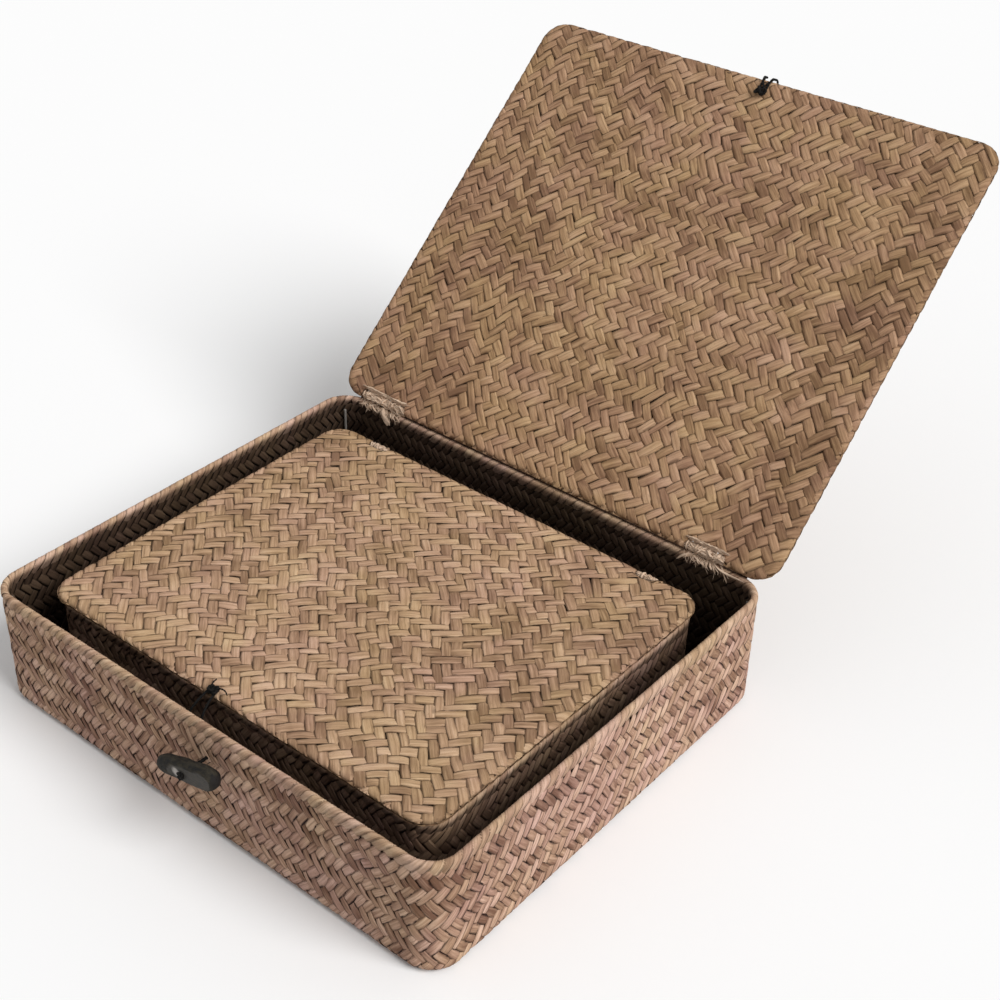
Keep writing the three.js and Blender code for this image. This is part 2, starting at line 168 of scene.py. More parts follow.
def smooth_path(points, steps):
    """Evenly spaced places on a smooth curve through the points."""
    points = np.asarray(points, float)
    padded = np.vstack([2 * points[0] - points[1], points, 2 * points[-1] - points[-2]])
    fine = []
    for a, b, c, d in zip(padded[:-3], padded[1:-2], padded[2:-1], padded[3:]):
        k1 = np.linalg.norm(b - a) ** 0.5
        k2 = k1 + np.linalg.norm(c - b) ** 0.5
        k3 = k2 + np.linalg.norm(d - c) ** 0.5
        t = np.linspace(k1, k2, 24, endpoint=False)[:, None]

        def between(first, last, start, end):
            return (end - t) / (end - start) * first + (t - start) / (end - start) * last

        bc = between(b, c, k1, k2)
        abc = between(between(a, b, 0, k1), bc, 0, k2)
        bcd = between(bc, between(c, d, k2, k3), k1, k3)
        fine.append(between(abc, bcd, k1, k2))
    fine = np.vstack(fine + [points[-1:]])
    along = walked(fine)
    even = np.linspace(0, along[-1], steps + 1)
    return np.stack([np.interp(even, along, fine[:, axis]) for axis in range(3)], axis=1)


def tube_faces(rings, sides, hoop=False):
    """Faces of a tube of rings, closed by two caps, or by joining its ends if it is a hoop."""
    number = np.arange(rings * sides).reshape(rings, sides)
    ahead = np.roll(number, -1, axis=1)
    above = np.roll(number, -1, axis=0)
    quads = np.stack([number, ahead, np.roll(ahead, -1, axis=0), above], axis=-1)
    if hoop:
        return [quads.reshape(-1, 4)]
    return [quads[:-1].reshape(-1, 4), np.stack([number[0, ::-1], number[-1]])]


def twisted_tube(path, diameter, lay=0.005, sides=10, groove=0.35, taper=1.0, tone=0.5):
    """Thread of two twisted plies along a path, closed at both ends."""
    path = np.asarray(path, float)
    tangent = np.gradient(path, axis=0)
    tangent /= np.linalg.norm(tangent, axis=1)[:, None]
    side = np.empty_like(path)
    last = np.cross(tangent[0], (0.31, 0.73, 0.61))
    for index, direction in enumerate(tangent):
        last = last - direction * (last @ direction)
        last /= np.linalg.norm(last)
        side[index] = last
    other = np.cross(tangent, side)
    along = walked(path)[:, None]
    angle = np.linspace(0, 2 * math.pi, sides, endpoint=False)[None, :]
    twist = angle - 2 * math.pi * along / lay
    dip = np.sin(twist) ** 2
    radius = diameter / 2 * (1 - groove * dip) * np.reshape(taper, (-1, 1))
    places = (
        path[:, None, :] + (radius * np.cos(angle))[..., None] * side[:, None, :]
        + (radius * np.sin(angle))[..., None] * other[:, None, :])
    tones = np.full(dip.shape, tone)
    fibre = np.stack([np.broadcast_to(along, dip.shape), twist * diameter / 2, tones], axis=-1)
    # hollow is painted shade in the groove between the plies; the thread material darkens it towards its
    # groove colour.
    return {
        "places": places.reshape(-1, 3), "faces": tube_faces(len(path), sides),
        "fibre": fibre.reshape(-1, 3), "tone": tones.ravel(), "hollow": dip.ravel() ** 2,
    }


def join_forms(forms):
    """One form from several, with their faces renumbered."""
    faces = []
    start = 0
    for form in forms:
        faces += [group + start for group in form["faces"]]
        start += len(form["places"])
    joined = {"faces": faces}
    for key in ("places", "fibre", "tone", "hollow"):
        joined[key] = np.concatenate([form[key] for form in forms])
    return joined


def make_piece(name, form, material, place=None):
    """Mesh object from a form, with the form's values kept as named attributes for its material."""
    places = form["places"]
    if place is not None:
        turn = np.array(place.to_3x3())
        places = places @ turn.T + np.array(place.translation)
    mesh = bpy.data.meshes.new(name)
    corners = np.concatenate([group.ravel() for group in form["faces"]]).astype(np.int32)
    sizes = np.concatenate([np.full(len(group), group.shape[1]) for group in form["faces"]])
    starts = np.concatenate([[0], np.cumsum(sizes)[:-1]]).astype(np.int32)
    mesh.vertices.add(len(places))
    mesh.vertices.foreach_set("co", places.astype(np.float32).ravel())
    mesh.loops.add(len(corners))
    mesh.loops.foreach_set("vertex_index", corners)
    mesh.polygons.add(len(sizes))
    mesh.polygons.foreach_set("loop_start", starts)
    mesh.polygons.foreach_set("use_smooth", np.ones(len(sizes), bool))
    mesh.update(calc_edges=True)
    mesh.validate()
    for key in ("fibre", "tone", "hollow"):
        kind, field = ("FLOAT_VECTOR", "vector") if key == "fibre" else ("FLOAT", "value")
        layer = mesh.attributes.new(key, kind, "POINT")
        layer.data.foreach_set(field, form[key].astype(np.float32).ravel())
    mesh.materials.append(material)
    piece = bpy.data.objects.new(name, mesh)
    bpy.context.collection.objects.link(piece)
    return piece


def attribute(tree, name, output="Fac"):
    return add_node(tree, "ShaderNodeAttribute", attribute_name=name).outputs[output]


def noise(tree, where, scale, detail, rough=0.5):
    values = {"Vector": where, "Scale": scale, "Detail": detail, "Roughness": rough}
    return add_node(tree, "ShaderNodeTexNoise", values).outputs[0]


def streaks(tree, stretch, detail, rough):
    """Noise drawn out along the fibres."""
    values = {0: attribute(tree, "fibre", "Vector"), 1: stretch}
    drawn = add_node(tree, "ShaderNodeVectorMath", values, operation="MULTIPLY").outputs[0]
    return noise(tree, drawn, 1.0, detail, rough)


def start_group(name, colours, values=()):
    """Empty node group that takes colours and values and gives a colour, a roughness and a height."""
    group = bpy.data.node_groups.new(name, "ShaderNodeTree")
    for way, kind, keys in (
            ("INPUT", "NodeSocketColor", colours), ("INPUT", "NodeSocketFloat", values),
            ("OUTPUT", "NodeSocketColor", ("Colour",)),
            ("OUTPUT", "NodeSocketFloat", ("Roughness", "Height"))):
        for key in keys:
            group.interface.new_socket(key, in_out=way, socket_type=kind)
    return group


def make_fibre_material(name, group, values, bump, bump_depth, sheen):
    """Material that takes its colour, roughness and height from a group."""
    material, tree, shader = start_material(name)
    given = add_node(tree, "ShaderNodeGroup", values, node_tree=group).outputs
    relief = add_node(tree, "ShaderNodeBump", {
        "Strength": bump, "Distance": bump_depth, "Height": given["Height"]})
    set_inputs(tree, shader, {
        "Base Color": given["Colour"], "Roughness": given["Roughness"], "Normal": relief.outputs[0],
        "Specular IOR Level": sheen})
    return material


def make_thread_group():
    """Fibres of a twisted thread: pale on the plies, mixed towards the groove colour by the hollow value,
    which is painted shade in the groove on cords and a random darker tone on raffia strands.
    """
    group = start_group("thread_fibres", ("Groove Colour", "Ply Colour", "Fibre Colour"))
    given = add_node(group, "NodeGroupInput").outputs
    hairs = streaks(group, (700, 4200, 31), 4.0, 0.65)
    sharp = map_range(group, hairs, 0.35, 0.7)
    ply = mix_colours(group, sharp, given["Ply Colour"], given["Fibre Colour"])
    colour = mix_colours(group, attribute(group, "hollow"), ply, given["Groove Colour"])
    rough = map_range(group, hairs, low=0.6, high=0.95)
    add_node(group, "NodeGroupOutput", {"Colour": colour, "Roughness": rough, "Height": hairs})
    return group


thread_group = make_thread_group()


def make_thread_material(name, groove, ply, fibre, bump, sheen):
    colours = {"Groove Colour": groove, "Ply Colour": ply, "Fibre Colour": fibre}
    return make_fibre_material(name, thread_group, colours, bump, 0.0003, sheen)


black_cord = make_thread_material(
    "black_waxed_cord", (0.002, 0.0017, 0.0014), (0.005, 0.0043, 0.0038), (0.011, 0.0095, 0.008), 0.6, 0.14)


def mirrored_loop(half, bottom, steps):
    """Path down one side of a loop, round its bottom and up the other side, from points in millimetres."""
    half = np.array(half)
    return smooth_path(np.vstack([half * (-1, 1, 1), [bottom], half[::-1]]) / 1000, steps)


outer_loop_pivot = lid_places["outer"] @ Vector((outer_loop_x, lid_fronts["outer"] - outer_loop_gap, 0))
outer_loop_path = np.array(outer_loop_pivot) + mirrored_loop(
    [(4.7, 0, 0), (6.4, 0, -8.0), (9.0, 0, -19.0), (9.4, 0, -27.0), (6.0, 0, -33.6)], (0, 0, -36.0), 72)
outer_loop = make_piece("outer_loop", twisted_tube(outer_loop_path, loop_diameter, loop_lay), black_cord)
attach(outer_loop, "outer_loop")
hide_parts("outer_loop_cord")

inner_loop_middle = np.array((inner_loop_x, lid_fronts["inner"], 0)) + np.array(hinges["inner"])
inner_loop_path = inner_loop_middle + mirrored_loop(
    [(2.2, 0.5, 3.7), (2.5, -0.8, 3.4), (3.1, -5.15, 1.3), (4.4, -11.1, -3.4), (5.6, -13.5, -9.0),
     (6.0, -13.5, -17.0), (3.4, -13.5, -22.4)], (0, -13.5, -23.8), 84)
inner_loop = make_piece("inner_loop", twisted_tube(inner_loop_path, loop_diameter, loop_lay), black_cord)
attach(inner_loop, "inner_lid")
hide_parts("inner_loop_cord")

# Plaited walls and base
# Flattened grass strips are plaited over two and under two, on the slant, into a tub whose rows run
# level round the walls. Every strip is made here as its own floats, diving under their neighbours.
boxes = {
    "outer": {
        "place": Matrix.Identity(4), "width": 0.338, "depth": 0.291, "height": 0.077, "corner": 0.019,
        "lashings": ((-0.150, -0.112), (0.110, 0.138)), "toggle": Vector((0.012, -0.1589, 0.0558)),
        "seed": 11,
    },
    "inner": {
        "place": Matrix.Translation((-0.0013, -0.0027, 0.0042)), "width": 0.289, "depth": 0.2336,
        "height": 0.0623, "corner": 0.017, "lashings": ((-0.1135, -0.0985), (0.0985, 0.1135)),
        "toggle": Vector((-0.007, -0.1251, 0.0322)), "seed": 23,
    },
}
strip_width = 0.0053
strip_rise = 0.00062
strip_sink = -0.00035
strip_inset = 0.0006
bottom_edge = 0.005
base_lap = 0.006
base_inset = bottom_edge + 0.004
base_level = strip_inset + 0.0003
rim_cover = 0.005
wall_thickness = 0.0039
wall_squeeze = 0.84
wall_stretch = 1.06
swell_height = 0.0004
swell_start = 0.02
core_drop = 0.0045
core_out = -0.0012
core_in = -0.0027
root_two = math.sqrt(2)
full_turn = 2 * math.pi


def rounded_outline(width, depth, corner):
    """Walk round a rounded rectangle from the middle of its front; gives its length too."""
    x, y = width / 2 - corner, depth / 2 - corner
    wide, deep = width - 2 * corner, depth - 2 * corner
    quarter = math.pi / 2 * corner
    starts = np.cumsum([0, x, quarter, deep, quarter, wide, quarter, deep, quarter, x])
    headings = np.array([0, 0, 1, 1, 2, 2, 3, 3, 4, 4]) * math.pi / 2
    centre_x = [0, x, x, x, x, -x, -x, -x, -x, 0]
    centre_y = [-y, -y, -y, y, y, y, y, -y, -y, -y]

    def walk(u):
        u = np.mod(u, starts[-1])
        heading = np.interp(u, starts, headings)
        level = np.zeros_like(heading)
        outward = np.stack([np.sin(heading), -np.cos(heading), level], axis=-1)
        centre = np.stack([np.interp(u, starts, centre_x), np.interp(u, starts, centre_y), level], axis=-1)
        return centre + corner * outward, outward

    return walk, float(starts[-1])


def level_rows(i, j, u, v):
    return np.mod(i - j, 4) < 2


def upright_columns(i, j, u, v):
    return np.mod(i + j, 4) < 2


def one_way(i, j, u, v):
    return np.full(np.shape(i), True)


def plait_floats(u_range, v_range, pitch, rule, keep):
    """Every stretch where a strip lies on top: its middle, direction, length and strip number."""
    (u0, u1), (v0, v1) = u_range, v_range
    i = np.arange(math.floor((u0 + v0) / root_two / pitch), math.ceil((u1 + v1) / root_two / pitch) + 1)
    j = np.arange(math.floor((u0 - v1) / root_two / pitch), math.ceil((u1 - v0) / root_two / pitch) + 1)
    grid_i, grid_j = np.meshgrid(i, j, indexing="ij")
    u = (grid_i + grid_j + 1) * pitch / root_two
    v = (grid_i - grid_j) * pitch / root_two
    inside = keep(u, v)
    over = rule(grid_i, grid_j, u, v)
    found = []
    for family, mask, lines, cells in ((0, (over & inside).T, j, i), (1, ~over & inside, i, j)):
        edge = np.diff(np.pad(mask.astype(np.int8), ((0, 0), (1, 1))), axis=1)
        line, first = np.nonzero(edge == 1)
        last = np.nonzero(edge == -1)[1]
        along = (cells[0] + (first + last) / 2) * pitch
        across = (lines[line] + 0.5) * pitch
        s, t = (along, across) if family == 0 else (across, along)
        found.append({
            "u": (s + t) / root_two, "v": (s - t) / root_two, "length": (last - first) * pitch,
            "angle": np.full(len(line), math.pi / 4 * (1 - 2 * family)),
            "family": np.full(len(line), family), "line": lines[line], "along": along,
        })
    return {key: np.concatenate([part[key] for part in found]) for key in found[0]}


def choose(floats, mask):
    return {key: values[mask] for key, values in floats.items()}


def ring_floats(length, v_range, pitch, rule, kept=None):
    """The floats of a band of plait that runs once round."""
    low, high = kept or v_range
    spare = 0.05
    floats = plait_floats(
        (0, length), v_range, pitch, rule,
        lambda u, v: (v > low) & (v < high) & (u > -spare) & (u < length + spare))
    return choose(floats, (floats["u"] >= 0) & (floats["u"] < length))


def fold_floats(length, reach, pitch):
    """Slanted folds side by side over an edge that runs once round."""
    shift = pitch / root_two / 2
    share = 0.8 * reach
    floats = ring_floats(length, (-reach, reach), pitch, one_way, (shift - share, shift + share))
    floats["v"] = floats["v"] - shift
    return floats


def broken_rows(rule, seed, length):
    """The same plait with its rows out of step by one strip here and there, closing up over the length."""
    random = np.random.default_rng(seed)
    most_turns = round(length / 0.09)
    turns = random.integers(-most_turns, most_turns + 1, 3)
    climbs = random.uniform(20, 70, 3) * random.choice((-1, 1), 3)
    phases = random.uniform(0, full_turn, 3)

    def broken(i, j, u, v):
        waves = zip(turns, climbs, phases)
        field = sum(np.sin(full_turn * n * u / length + k * v + p) for n, k, p in waves)
        return rule(i + (field > 0.9).astype(int), j, u, v)
    return broken


def make_wander(seed, length):
    """Uneven strip widths and gentle drifting of the strips, closing up over the length."""
    random = np.random.default_rng(seed)
    slant = length / root_two
    unevenness = 0.055
    bands = []
    for _ in range(2):
        counts = random.integers(round(slant / 0.027), round(slant / 0.0105), 7)
        bands.append([(n, random.uniform(0, full_turn)) for n in counts])
    most_turns = round(length / 0.05)
    drifts = [
        (random.integers(-most_turns, most_turns + 1), random.uniform(-120, 120),
         random.uniform(0, full_turn), random.uniform(0.0004, 0.0009)) for _ in range(10)]

    def wander(u, v):
        moved_u, moved_v = u.copy(), v.copy()
        for sign, band in zip((1, -1), bands):
            across = (u + sign * v) / root_two
            shift = sum(
                unevenness * slant / (full_turn * n) * np.sin(full_turn * n * across / slant + p)
                for n, p in band)
            moved_u += shift / root_two
            moved_v += sign * shift / root_two
        for turn, (n, k, p, size) in enumerate(drifts):
            wave = size * np.sin(full_turn * n * u / length + k * v + p)
            if turn % 2:
                moved_u += wave
            else:
                moved_v += wave
        return moved_u, moved_v
    return wander


def lay_strips(floats, pitch, surface, seed, trim, steps, turns=None, shade=None, rise=strip_rise,
               sink=strip_sink, spread=0.06, wander=None, dim=None, lean=0.11):
    """Closed crowned float for each stretch, on the given surface."""
    random = np.random.default_rng(seed)
    count = len(floats["u"])
    first_family = floats["family"] == 0
    line = floats["line"] if turns is None else np.mod(floats["line"], turns)
    keys, strip = np.unique(floats["family"] * 100000 + line + 50000, return_inverse=True)
    strip_tone = random.normal(0.0, spread, len(keys))[strip]
    strip_mark = random.uniform(0, 40, len(keys))[strip]
    strip_fullness = random.uniform(0.95, 1.06, len(keys))[strip]
    # lean makes one family of strips paler and the other darker: painted sheen, for the way the light
    # catches strips that run different ways.
    tone = 0.5 + strip_tone + random.normal(0, 0.08, count) + np.where(first_family, lean, -lean)
    if shade is not None:
        tone = tone + shade(floats["u"], floats["v"])
    one = lambda values: np.asarray(values)[:, None, None]
    x = np.linspace(-1, 1, steps[0] + 1)[None, :, None]
    y = np.linspace(-1, 1, steps[1] + 1)[None, None, :]
    tuck = random.uniform(0.36, 0.52, count) * pitch
    half_length = one(floats["length"] / 2 + tuck)
    half_width = one(strip_fullness * random.uniform(0.99, 1.06, count) * pitch / 2)
    turn = one(floats["angle"] + random.normal(0, 0.035, count))
    slip = one(random.normal(0, 0.035, count) * pitch)
    narrowing = one(random.uniform(-0.05, 0.05, count))
    bow = one(random.normal(0, 0.03, count) * pitch)
    a = x * half_length + 0 * y
    b = y * half_width * (1 + narrowing * x) * (1.10 - 0.20 * x ** 2) + slip + bow * (1 - x * x)
    u = one(floats["u"]) + a * np.cos(turn) - b * np.sin(turn)
    v = one(floats["v"]) + a * np.sin(turn) + b * np.cos(turn)
    if wander is not None:
        u, v = wander(u, v)
    u, v = trim(u, v)
    crown = one(random.uniform(0.85, 1.12, count)) * rise
    raised = np.where(first_family, -1, 1)
    lift = one(raised * random.normal(0.2, 0.1, count))
    crease = one(random.uniform(-0.5, 0.5, count))
    fold = one(random.uniform(0.0, 0.16, count)) * np.exp(-((y - crease) / 0.22) ** 2)
    across_shape = 1 - 0.36 * np.abs(y) ** 3.6 + lift * y - fold
    along_shape = 1 - np.abs(x) ** 2.5
    height = sink + (crown * across_shape - sink) * along_shape
    places, normals = surface(u, v)
    places = places + normals * height[..., None]
    # hollow: painted shade at the float ends where they dive under, of random strength at each end, and
    # along the long edges; dim adds more painted shade by place.
    near, far = random.uniform(0.15, 1.2, (2, count))
    end_shade = np.where(x < 0, one(near), one(far))
    hollow = np.clip(np.abs(x) * 2.8 - 1.8, 0, 1) ** 1.4 * end_shade * np.ones_like(y)
    hollow = np.maximum(hollow, np.clip(np.abs(y) * 2.4 - 1.95, 0, 1) * 0.45)
    hollow = np.broadcast_to(hollow, height.shape)
    if dim is not None:
        hollow = np.maximum(hollow, dim(u, v))
    fibre = np.stack([one(floats["along"]) + a, one(raised) * b, one(strip_mark) + 0 * a], axis=-1)
    rows, columns = steps[0] + 1, steps[1] + 1
    number = np.arange(rows * columns).reshape(rows, columns)
    top = np.stack([number[:-1, :-1], number[1:, :-1], number[1:, 1:], number[:-1, 1:]], axis=-1)
    top = top.reshape(-1, 4)
    under = np.stack([number[:-1, 0], number[:-1, -1], number[1:, -1], number[1:, 0]], axis=-1)
    ends = np.stack([number[0, :], number[-1, ::-1]])
    row, column = steps[0] // 2, steps[1] // 2
    middle = places[:, row, column]
    facing = np.cross(places[:, row + 1, column] - middle, places[:, row, column + 1] - middle)
    if (facing * normals[:, row, column]).sum() < 0:
        top, under, ends = top[:, ::-1], under[:, ::-1], ends[:, ::-1]
    start = (np.arange(count) * rows * columns)[:, None, None]
    faces = [(group[None] + start).reshape(-1, group.shape[1]) for group in (top, under, ends)]
    return {
        "places": places.reshape(-1, 3), "faces": faces, "fibre": fibre.reshape(-1, 3),
        "tone": np.broadcast_to(one(tone), height.shape).ravel(), "hollow": hollow.ravel(),
    }


def painted_shade_form(places, faces):
    """Plain closed form that takes the gap colour: painted shade for the inside of the plait, seen only
    between the strips.
    """
    return {
        "places": places, "faces": faces, "fibre": np.zeros((len(places), 3)),
        "tone": np.full(len(places), 0.2), "hollow": np.full(len(places), 2.5),
    }


def loft(walk, length, profile, hoop=False):
    """Closed shell in painted shade through copies of one outline, each at its own offset and height."""
    count = 176
    point, outward = walk(np.linspace(0, length, count, endpoint=False))
    rings = [point + outward * offset + np.array((0, 0, z)) for offset, z in profile]
    return painted_shade_form(np.concatenate(rings), tube_faces(len(rings), count, hoop))


def clamp_to_band(low, high):
    """Pull points that lie above or below a band back to its edge."""
    return lambda u, v: (u, np.clip(v, low, high))


def clamp_to_panel(half_width, half_depth, corner):
    """Pull points that lie outside a rounded panel back to its edge."""
    def trim(u, v):
        across = np.clip(np.abs(u), 0, half_width)
        deep = np.clip(np.abs(v), 0, half_depth)
        past_x = np.maximum(across - (half_width - corner), 0)
        past_y = np.maximum(deep - (half_depth - corner), 0)
        reach = np.hypot(past_x, past_y)
        outside = (reach > corner) & (past_x > 0) & (past_y > 0)
        scale = np.where(outside, corner / np.maximum(reach, 1e-9), 1)
        across = np.where(past_x > 0, half_width - corner + past_x * scale, across)
        deep = np.where(past_y > 0, half_depth - corner + past_y * scale, deep)
        return np.sign(u) * across, np.sign(v) * deep
    return trim


def inside_panel(trim, margin):
    def keep(u, v):
        nearest_u, nearest_v = trim(u, v)
        return np.hypot(u - nearest_u, v - nearest_v) <= margin
    return keep


def flat_surface(level, up):
    """Level sheet at a height, facing up or down."""
    def surface(u, v):
        places = np.stack([u, v, np.full_like(u, level)], axis=-1)
        return places, np.broadcast_to(np.array((0.0, 0.0, up)), places.shape)
    return surface


def panel_strips(width, depth, corner, inset, surface, rule, seed, steps, pitch=strip_width, notch=None,
                 **settings):
    """Plaited panel that fills a rounded rectangle up to an inset, less any notches."""
    half_width, half_depth = width / 2 - inset, depth / 2 - inset
    whole = clamp_to_panel(half_width, half_depth, corner - inset)
    trim = whole if notch is None else lambda u, v: notch(*whole(u, v))
    floats = plait_floats(
        (-half_width, half_width), (-half_depth, half_depth), pitch,
        broken_rows(rule, seed + 300, 2 * half_width), inside_panel(trim, pitch * 0.8))
    wander = make_wander(seed + 400, 2 * half_width)
    return lay_strips(floats, pitch, surface, seed, trim, steps, wander=wander, **settings)


def make_grass_group():
    """Dried grass: pale and dark streaks along each strip, flecks, and painted shade in creases, along the
    strip edges and where strips dive under.
    """
    group = start_group(
        "grass_strip", ("Dark Colour", "Middle Colour", "Pale Colour", "Gap Colour"), ("Gap Strength",))
    given = add_node(group, "NodeGroupInput").outputs
    where = add_node(group, "ShaderNodeTexCoord").outputs["Object"]
    coarse = streaks(group, (45, 640, 1), 3.0, 0.6)
    fine = streaks(group, (160, 4200, 1), 3.0, 0.6)
    drift = streaks(group, (45, 60, 1.7), 2.0, 0.5)
    flecks = streaks(group, (700, 2600, 1), 2.0, 0.5)
    breaks = streaks(group, (170, 240, 3.1), 2.0, 0.5)
    blotches = noise(group, where, 19.0, 3.0)
    patches = noise(group, where, 32.0, 2.0)
    value = attribute(group, "tone")
    for part, strength in ((coarse, 1.25), (drift, 0.9), (fine, 0.4), (blotches, 0.55)):
        change = math_node(group, "MULTIPLY_ADD", part, strength, -strength / 2)
        value = math_node(group, "ADD", value, change)
    low = map_range(group, value, 0.1, 0.5)
    high = map_range(group, value, 0.5, 0.9)
    colour = mix_colours(group, low, given["Dark Colour"], given["Middle Colour"])
    colour = mix_colours(group, high, colour, given["Pale Colour"])
    fleck_mask = map_range(group, flecks, 0.62, 0.75, high=0.6)
    colour = mix_colours(group, fleck_mask, colour, given["Dark Colour"])

    on_strip = add_node(group, "ShaderNodeSeparateXYZ", {0: attribute(group, "fibre", "Vector")}).outputs
    chance = add_node(group, "ShaderNodeTexWhiteNoise", {"W": on_strip["Z"]}, noise_dimensions="1D")
    chance = chance.outputs["Value"]
    # A dark line along a crease in each strip: painted shade in the crease.
    crease_place = math_node(group, "MULTIPLY_ADD", chance, 0.0042, -0.0021)
    crease_gap = math_node(group, "ABSOLUTE", math_node(group, "SUBTRACT", on_strip["Y"], crease_place))
    crease = map_range(group, crease_gap, 0.0, 0.0004, 0.55, 0.0)
    colour = mix_colours(group, crease, colour, given["Dark Colour"])

    patch_mask = map_range(group, patches, 0.36, 0.64)
    strip_hue = math_node(
        group, "MULTIPLY_ADD", chance, 0.5, math_node(group, "MULTIPLY", patch_mask, 0.6))
    cast = mix_colours(group, strip_hue, (1.0, 0.93, 0.97), (1.03, 1.03, 0.87))
    colour = mix_colours(group, 1.0, colour, cast, blend_type="MULTIPLY")

    # Broken dark lines along the long edges of each strip, heavier on one side: painted shadow where strips
    # lie against their neighbours.
    shadow_side = map_range(group, on_strip["Y"], 0.0017, 0.0026, high=0.85)
    light_side = map_range(group, on_strip["Y"], -0.0021, -0.0028, high=0.4)
    broken = map_range(group, breaks, 0.42, 0.64, low=0.05)
    line = math_node(group, "MULTIPLY", math_node(group, "MAXIMUM", shadow_side, light_side), broken)
    # The hollow value darkens the float ends and the plait's inside towards the gap colour: painted shade
    # where strips dive under.
    shaded_ends = math_node(group, "MULTIPLY", attribute(group, "hollow"), 0.8)
    gap_shade = math_node(
        group, "MULTIPLY", math_node(group, "MAXIMUM", shaded_ends, line), given["Gap Strength"])
    colour = mix_colours(group, gap_shade, colour, given["Gap Colour"])
    rough = map_range(group, fine, low=0.5, high=0.85)
    ridges = math_node(group, "MULTIPLY_ADD", coarse, 0.6, fine)
    add_node(group, "NodeGroupOutput", {"Colour": colour, "Roughness": rough, "Height": ridges})
    return group


grass_group = make_grass_group()


def make_grass_material(name, dark, middle, pale, gap, gap_strength):
    values = {
        "Dark Colour": dark, "Middle Colour": middle, "Pale Colour": pale, "Gap Colour": gap,
        "Gap Strength": gap_strength,
    }
    return make_fibre_material(name, grass_group, values, 0.7, 0.00035, 0.1)


plait_grass = make_grass_material(
    "plaited_grass", (0.25, 0.152, 0.092), (0.49, 0.320, 0.210), (0.66, 0.465, 0.325),
    (0.10, 0.055, 0.033), 0.68)
wall_grass = make_grass_material(
    "wall_grass", (0.20, 0.106, 0.072), (0.49, 0.308, 0.230), (0.75, 0.522, 0.415),
    (0.026, 0.010, 0.007), 1.45)
# Painted shade: the nested box's walls are a darkened copy of the wall grass, for the shade between the two
# boxes.
shaded_nested_wall_grass = make_grass_material(
    "shaded_nested_wall_grass", (0.10, 0.058, 0.040), (0.225, 0.142, 0.102), (0.34, 0.230, 0.172),
    (0.020, 0.010, 0.007), 1.2)
wall_materials = {"outer": wall_grass, "inner": shaded_nested_wall_grass}

for name, box in boxes.items():
    walk, round_length = rounded_outline(box["width"], box["depth"], box["corner"])
    laid_round = round_length / wall_squeeze
    turns = round(laid_round / (strip_width * root_two))
    pitch = laid_round / (turns * root_two)
    box.update(walk=walk, round=round_length, laid=laid_round, turns=turns, pitch=pitch)
    foot = bottom_edge - strip_inset
    foot_turn = foot * math.pi / 2
    low = (-foot_turn - base_lap) / wall_stretch
    high = (box["height"] - rim_cover - bottom_edge) / wall_stretch

    def skin_surface(u, v):
        u, v = u * wall_squeeze, v * wall_stretch
        point, outward = walk(u)
        bend = np.clip(-v / foot, 0, math.pi / 2)
        flat = np.clip(-v - foot_turn, 0, None)
        swell = swell_height * np.sin(u * 34 + v * 25) * np.sin(u * 11 + 1.3)
        swell = swell * np.clip(v / swell_start, 0, 1)
        offset = swell - strip_inset - foot * (1 - np.cos(bend)) - flat
        places = point + outward * offset[..., None]
        places[..., 2] = bottom_edge + np.maximum(v, 0) - foot * np.sin(bend)
        normals = outward * np.cos(bend)[..., None]
        normals[..., 2] = -np.sin(bend)
        return places, normals

    wall_rule = broken_rows(level_rows, box["seed"] + 300, laid_round)
    walls = lay_strips(
        ring_floats(laid_round, (low, high), pitch, wall_rule), pitch, skin_surface, box["seed"],
        clamp_to_band(low, high), (7, 4), turns, wander=make_wander(box["seed"] + 400, laid_round))
    core_top = box["height"] - core_drop
    core = loft(walk, round_length, [
        (-0.012, 0.0012), (-bottom_edge, 0.0012), (-0.0024, 0.0026), (core_out, bottom_edge),
        (core_out, core_top), (core_in, core_top), (core_in, 0.0028)])
    skin = make_piece(
        f"{name}_plaited_walls", join_forms([walls, core]), wall_materials[name], box["place"])
    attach(skin, f"{name}_box")
    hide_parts(f"{name}_skin")

    base = panel_strips(
        box["width"], box["depth"], box["corner"], base_inset, flat_surface(base_level, -1), level_rows,
        box["seed"] + 1, (6, 3))
    base_piece = make_piece(f"{name}_plaited_base", base, wall_materials[name], box["place"])
    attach(base_piece, f"{name}_box")

# Lining
# A second plait lines the walls and floor of each box. Its colours are darkened with painted shade for the
# little light that reaches inside, and it grows darker still with depth below the rim; its rows run level
# like those outside.
# Painted shade: the lining colours are darkened for the little light that reaches inside the boxes.
lining_grass = make_grass_material(
    "lining_grass", (0.030, 0.018, 0.012), (0.058, 0.036, 0.024), (0.092, 0.060, 0.041),
    (0.012, 0.007, 0.005), 0.9)
lid_lining_grass = make_grass_material(
    "lid_lining_grass", (0.22, 0.126, 0.074), (0.45, 0.280, 0.171), (0.61, 0.410, 0.265),
    (0.085, 0.045, 0.027), 0.68)
lining_low = 0.0034
lining_offset = strip_inset - wall_thickness
lining_dark_depth = 0.04
floor_inset = wall_thickness + 0.0004

